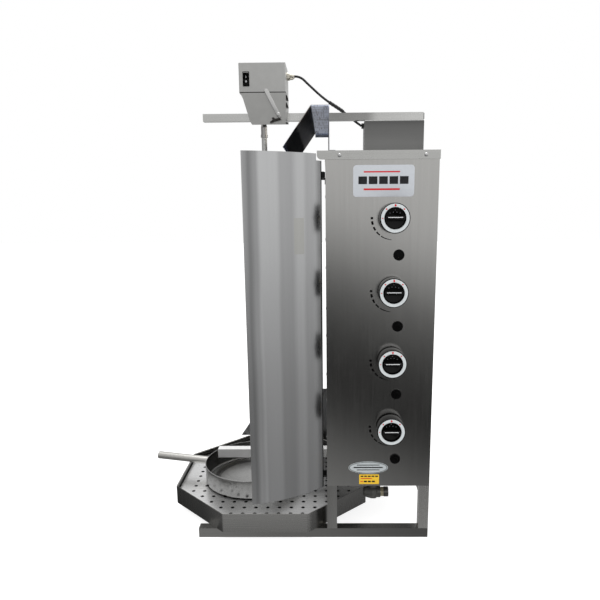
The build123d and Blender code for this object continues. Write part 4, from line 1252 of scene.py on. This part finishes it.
nipple_low, nipple_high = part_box("inlet_nipple")
nipple_mid = centre("inlet_nipple")
threads = []
for k in range(4):
    x = nipple_high[0] - 0.0150 - 0.0026 * k
    ridge = [(0.0099, -0.0011), (0.0120, -0.0004), (0.0120, 0.0004), (0.0099, 0.0011)]
    threads.append(lathe(ridge, (x, nipple_mid.y, nipple_mid.z), (1, 0, 0), 40, cap=False))
end_x = nipple_high[0]
cap_profile = [
    (0.0068, -0.0002),
    (0.0122, -0.0002),
    (0.0131, -0.0012),
    (0.0131, -0.0110),
    (0.0120, -0.0128),
    (0.0102, -0.0134),
    (0.0068, -0.0134),
    (0.0068, -0.0002),
]
piece(
    "inlet_collar",
    *lathe(cap_profile, (end_x, nipple_mid.y, nipple_mid.z), (1, 0, 0), 40, cap=False),
    looks["hook_steel"].material,
    "frame",
    "regulator_casting",
)
piece("inlet_threads", *merge(*threads), looks["inlet_brass"].material, "frame", "inlet_brass")

# ---- stage --------------------------------------------------------------------------
floor_mesh = bpy.data.meshes.new("floor")
SPAN = 14.0
floor_mesh.from_pydata(
    [(-SPAN, -SPAN, 0), (SPAN, -SPAN, 0), (SPAN, SPAN, 0), (-SPAN, SPAN, 0)], [], [(0, 1, 2, 3)]
)
floor = bpy.data.objects.new("floor", floor_mesh)
bpy.context.collection.objects.link(floor)
floor_look = Look("floor", (0.45, 0.45, 0.45), roughness=0.9)
floor_look.shader.inputs["Emission Color"].default_value = (1, 1, 1, 1)
floor_look.shader.inputs["Emission Strength"].default_value = 0.84
floor_mesh.materials.append(floor_look.material)
floor.visible_glossy = False


def softbox(name, place, target, width, height, power, glossy=True):
    """A rectangular area light aimed at a point."""
    data = bpy.data.lights.new(name, "AREA")
    data.shape = "RECTANGLE"
    data.size = width
    data.size_y = height
    data.energy = power
    lamp = bpy.data.objects.new(name, data)
    bpy.context.collection.objects.link(lamp)
    lamp.location = place
    aim = Vector(target) - Vector(place)
    lamp.rotation_euler = aim.to_track_quat("-Z", "Y").to_euler()
    lamp.visible_glossy = glossy
    return lamp


softbox("key", (-1.6, -1.8, 2.9), (0, 0, 0.5), 2.2, 2.2, 40, glossy=False)
softbox("top", (0.2, 0.2, 3.2), (0, 0, 0.5), 2.5, 2.5, 50)
softbox("right", (2.6, -0.6, 1.8), (0, 0, 0.6), 1.4, 2.2, 18, glossy=False)

world = bpy.data.worlds.new("studio")
bpy.context.scene.world = world
world.use_nodes = True
sky = world.node_tree
background = sky.nodes["Background"]


def sky_node(kind, **settings):
    made = sky.nodes.new(kind)
    for name, value in settings.items():
        setattr(made, name, value)
    return made


def sky_ramp(value, stops):
    """Grey levels by height in the sky, from straight down, 0, to straight up, 1."""
    ramp = sky_node("ShaderNodeValToRGB")
    ramp.color_ramp.interpolation = "EASE"
    sky.links.new(value, ramp.inputs["Fac"])
    points = ramp.color_ramp.elements
    while len(points) < len(stops):
        points.new(0.5)
    for point, (at, shade) in zip(points, stops):
        point.position = (at + 1) / 2
        point.color = (shade[0], shade[1], shade[2], 1) if isinstance(shade, tuple) else (shade,) * 3 + (1,)
    return ramp.outputs["Color"]


direction = sky_node("ShaderNodeTexCoord").outputs["Generated"]
parts = sky_node("ShaderNodeSeparateXYZ")
sky.links.new(direction, parts.inputs[0])
tilt = sky_node("ShaderNodeMath", operation="MULTIPLY_ADD")
sky.links.new(parts.outputs["X"], tilt.inputs[0])
tilt.inputs[1].default_value = 0.36
sky.links.new(parts.outputs["Z"], tilt.inputs[2])
to_unit = sky_node("ShaderNodeMapRange")
sky.links.new(tilt.outputs[0], to_unit.inputs["Value"])
to_unit.inputs["From Min"].default_value = -1.0
to_unit.inputs["From Max"].default_value = 1.0
plain_unit = sky_node("ShaderNodeMapRange")
sky.links.new(parts.outputs["Z"], plain_unit.inputs["Value"])
plain_unit.inputs["From Min"].default_value = -1.0
plain_unit.inputs["From Max"].default_value = 1.0

FRONT_SKY = [
    (-1.0, 0.34),
    (-0.47, 0.24),
    (-0.40, 0.15),
    (-0.35, 0.05),
    (-0.29, 0.012),
    (-0.21, 0.035),
    (-0.12, 0.11),
    (-0.05, 0.34),
    (0.02, 0.56),
    (0.3, 0.66),
    (1.0, 1.0),
]
SIDE_SKY = [
    (-1.0, 0.22),
    (-0.45, 0.24),
    (-0.30, 0.30),
    (-0.17, 0.42),
    (-0.05, 0.56),
    (0.05, 0.62),
    (0.3, 0.68),
    (1.0, 1.0),
]
front_light = sky_ramp(to_unit.outputs["Result"], FRONT_SKY)
side_light = sky_ramp(plain_unit.outputs["Result"], SIDE_SKY)
aside = sky_node("ShaderNodeMath", operation="ABSOLUTE")
sky.links.new(parts.outputs["X"], aside.inputs[0])
ahead = sky_node("ShaderNodeMapRange")
sky.links.new(aside.outputs[0], ahead.inputs["Value"])
ahead.inputs["From Min"].default_value = 0.36
ahead.inputs["From Max"].default_value = 0.24
in_front = sky_node("ShaderNodeMapRange")
sky.links.new(parts.outputs["Y"], in_front.inputs["Value"])
in_front.inputs["From Min"].default_value = 0.0
in_front.inputs["From Max"].default_value = -0.3
both = sky_node("ShaderNodeMath", operation="MULTIPLY")
sky.links.new(ahead.outputs["Result"], both.inputs[0])
sky.links.new(in_front.outputs["Result"], both.inputs[1])
left_low = sky_node("ShaderNodeMapRange")
sky.links.new(parts.outputs["X"], left_low.inputs["Value"])
left_low.inputs["From Min"].default_value = -0.25
left_low.inputs["From Max"].default_value = -0.75
left_low.inputs["To Min"].default_value = 1.0
left_low.inputs["To Max"].default_value = 0.55
dimmed = sky_node("ShaderNodeMix", data_type="RGBA", blend_type="MULTIPLY")
dimmed.inputs["Factor"].default_value = 1.0
sky.links.new(side_light, dimmed.inputs[6])
sky.links.new(left_low.outputs["Result"], dimmed.inputs[7])
mix = sky_node("ShaderNodeMix", data_type="RGBA")
sky.links.new(both.outputs[0], mix.inputs["Factor"])
sky.links.new(dimmed.outputs[2], mix.inputs[6])
sky.links.new(front_light, mix.inputs[7])
paths = sky_node("ShaderNodeLightPath")
seen = sky_node("ShaderNodeMix", data_type="RGBA")
sky.links.new(paths.outputs["Is Camera Ray"], seen.inputs["Factor"])
sky.links.new(mix.outputs[2], seen.inputs[6])
seen.inputs[7].default_value = (1.0, 1.0, 1.0, 1.0)
sky.links.new(seen.outputs[2], background.inputs["Color"])
background.inputs["Strength"].default_value = 1.0

# ---- camera -------------------------------------------------------------------------
CAMERA_PLACE = (0.04105, -1.6095, 0.8262)
CAMERA_DOWN = radians(11.759)
CAMERA_YAW = radians(-0.714)
CAMERA_ROLL = radians(-0.441)

ahead_axis = Vector(
    (
        sin(CAMERA_YAW) * cos(CAMERA_DOWN),
        cos(CAMERA_YAW) * cos(CAMERA_DOWN),
        -sin(CAMERA_DOWN),
    )
)
level_right = Vector((cos(CAMERA_YAW), -sin(CAMERA_YAW), 0))
level_up = level_right.cross(ahead_axis)
right_axis = level_right * cos(CAMERA_ROLL) + level_up * sin(CAMERA_ROLL)
up_axis = level_up * cos(CAMERA_ROLL) - level_right * sin(CAMERA_ROLL)
camera_data = bpy.data.cameras.new("camera")
camera_data.lens = 34.93
camera_data.sensor_width = 36.0
camera_data.shift_x = -0.0347
camera_data.shift_y = 0.0528
camera_data.clip_start = 0.05
camera = bpy.data.objects.new("camera", camera_data)
bpy.context.collection.objects.link(camera)
turn = Matrix((right_axis, up_axis, -ahead_axis)).transposed().to_4x4()
camera.matrix_world = Matrix.Translation(CAMERA_PLACE) @ turn
bpy.context.scene.camera = camera

view = bpy.context.scene.view_settings
view.view_transform = "Standard"
view.look = "None"
view.exposure = 0.0
view.gamma = 1.0
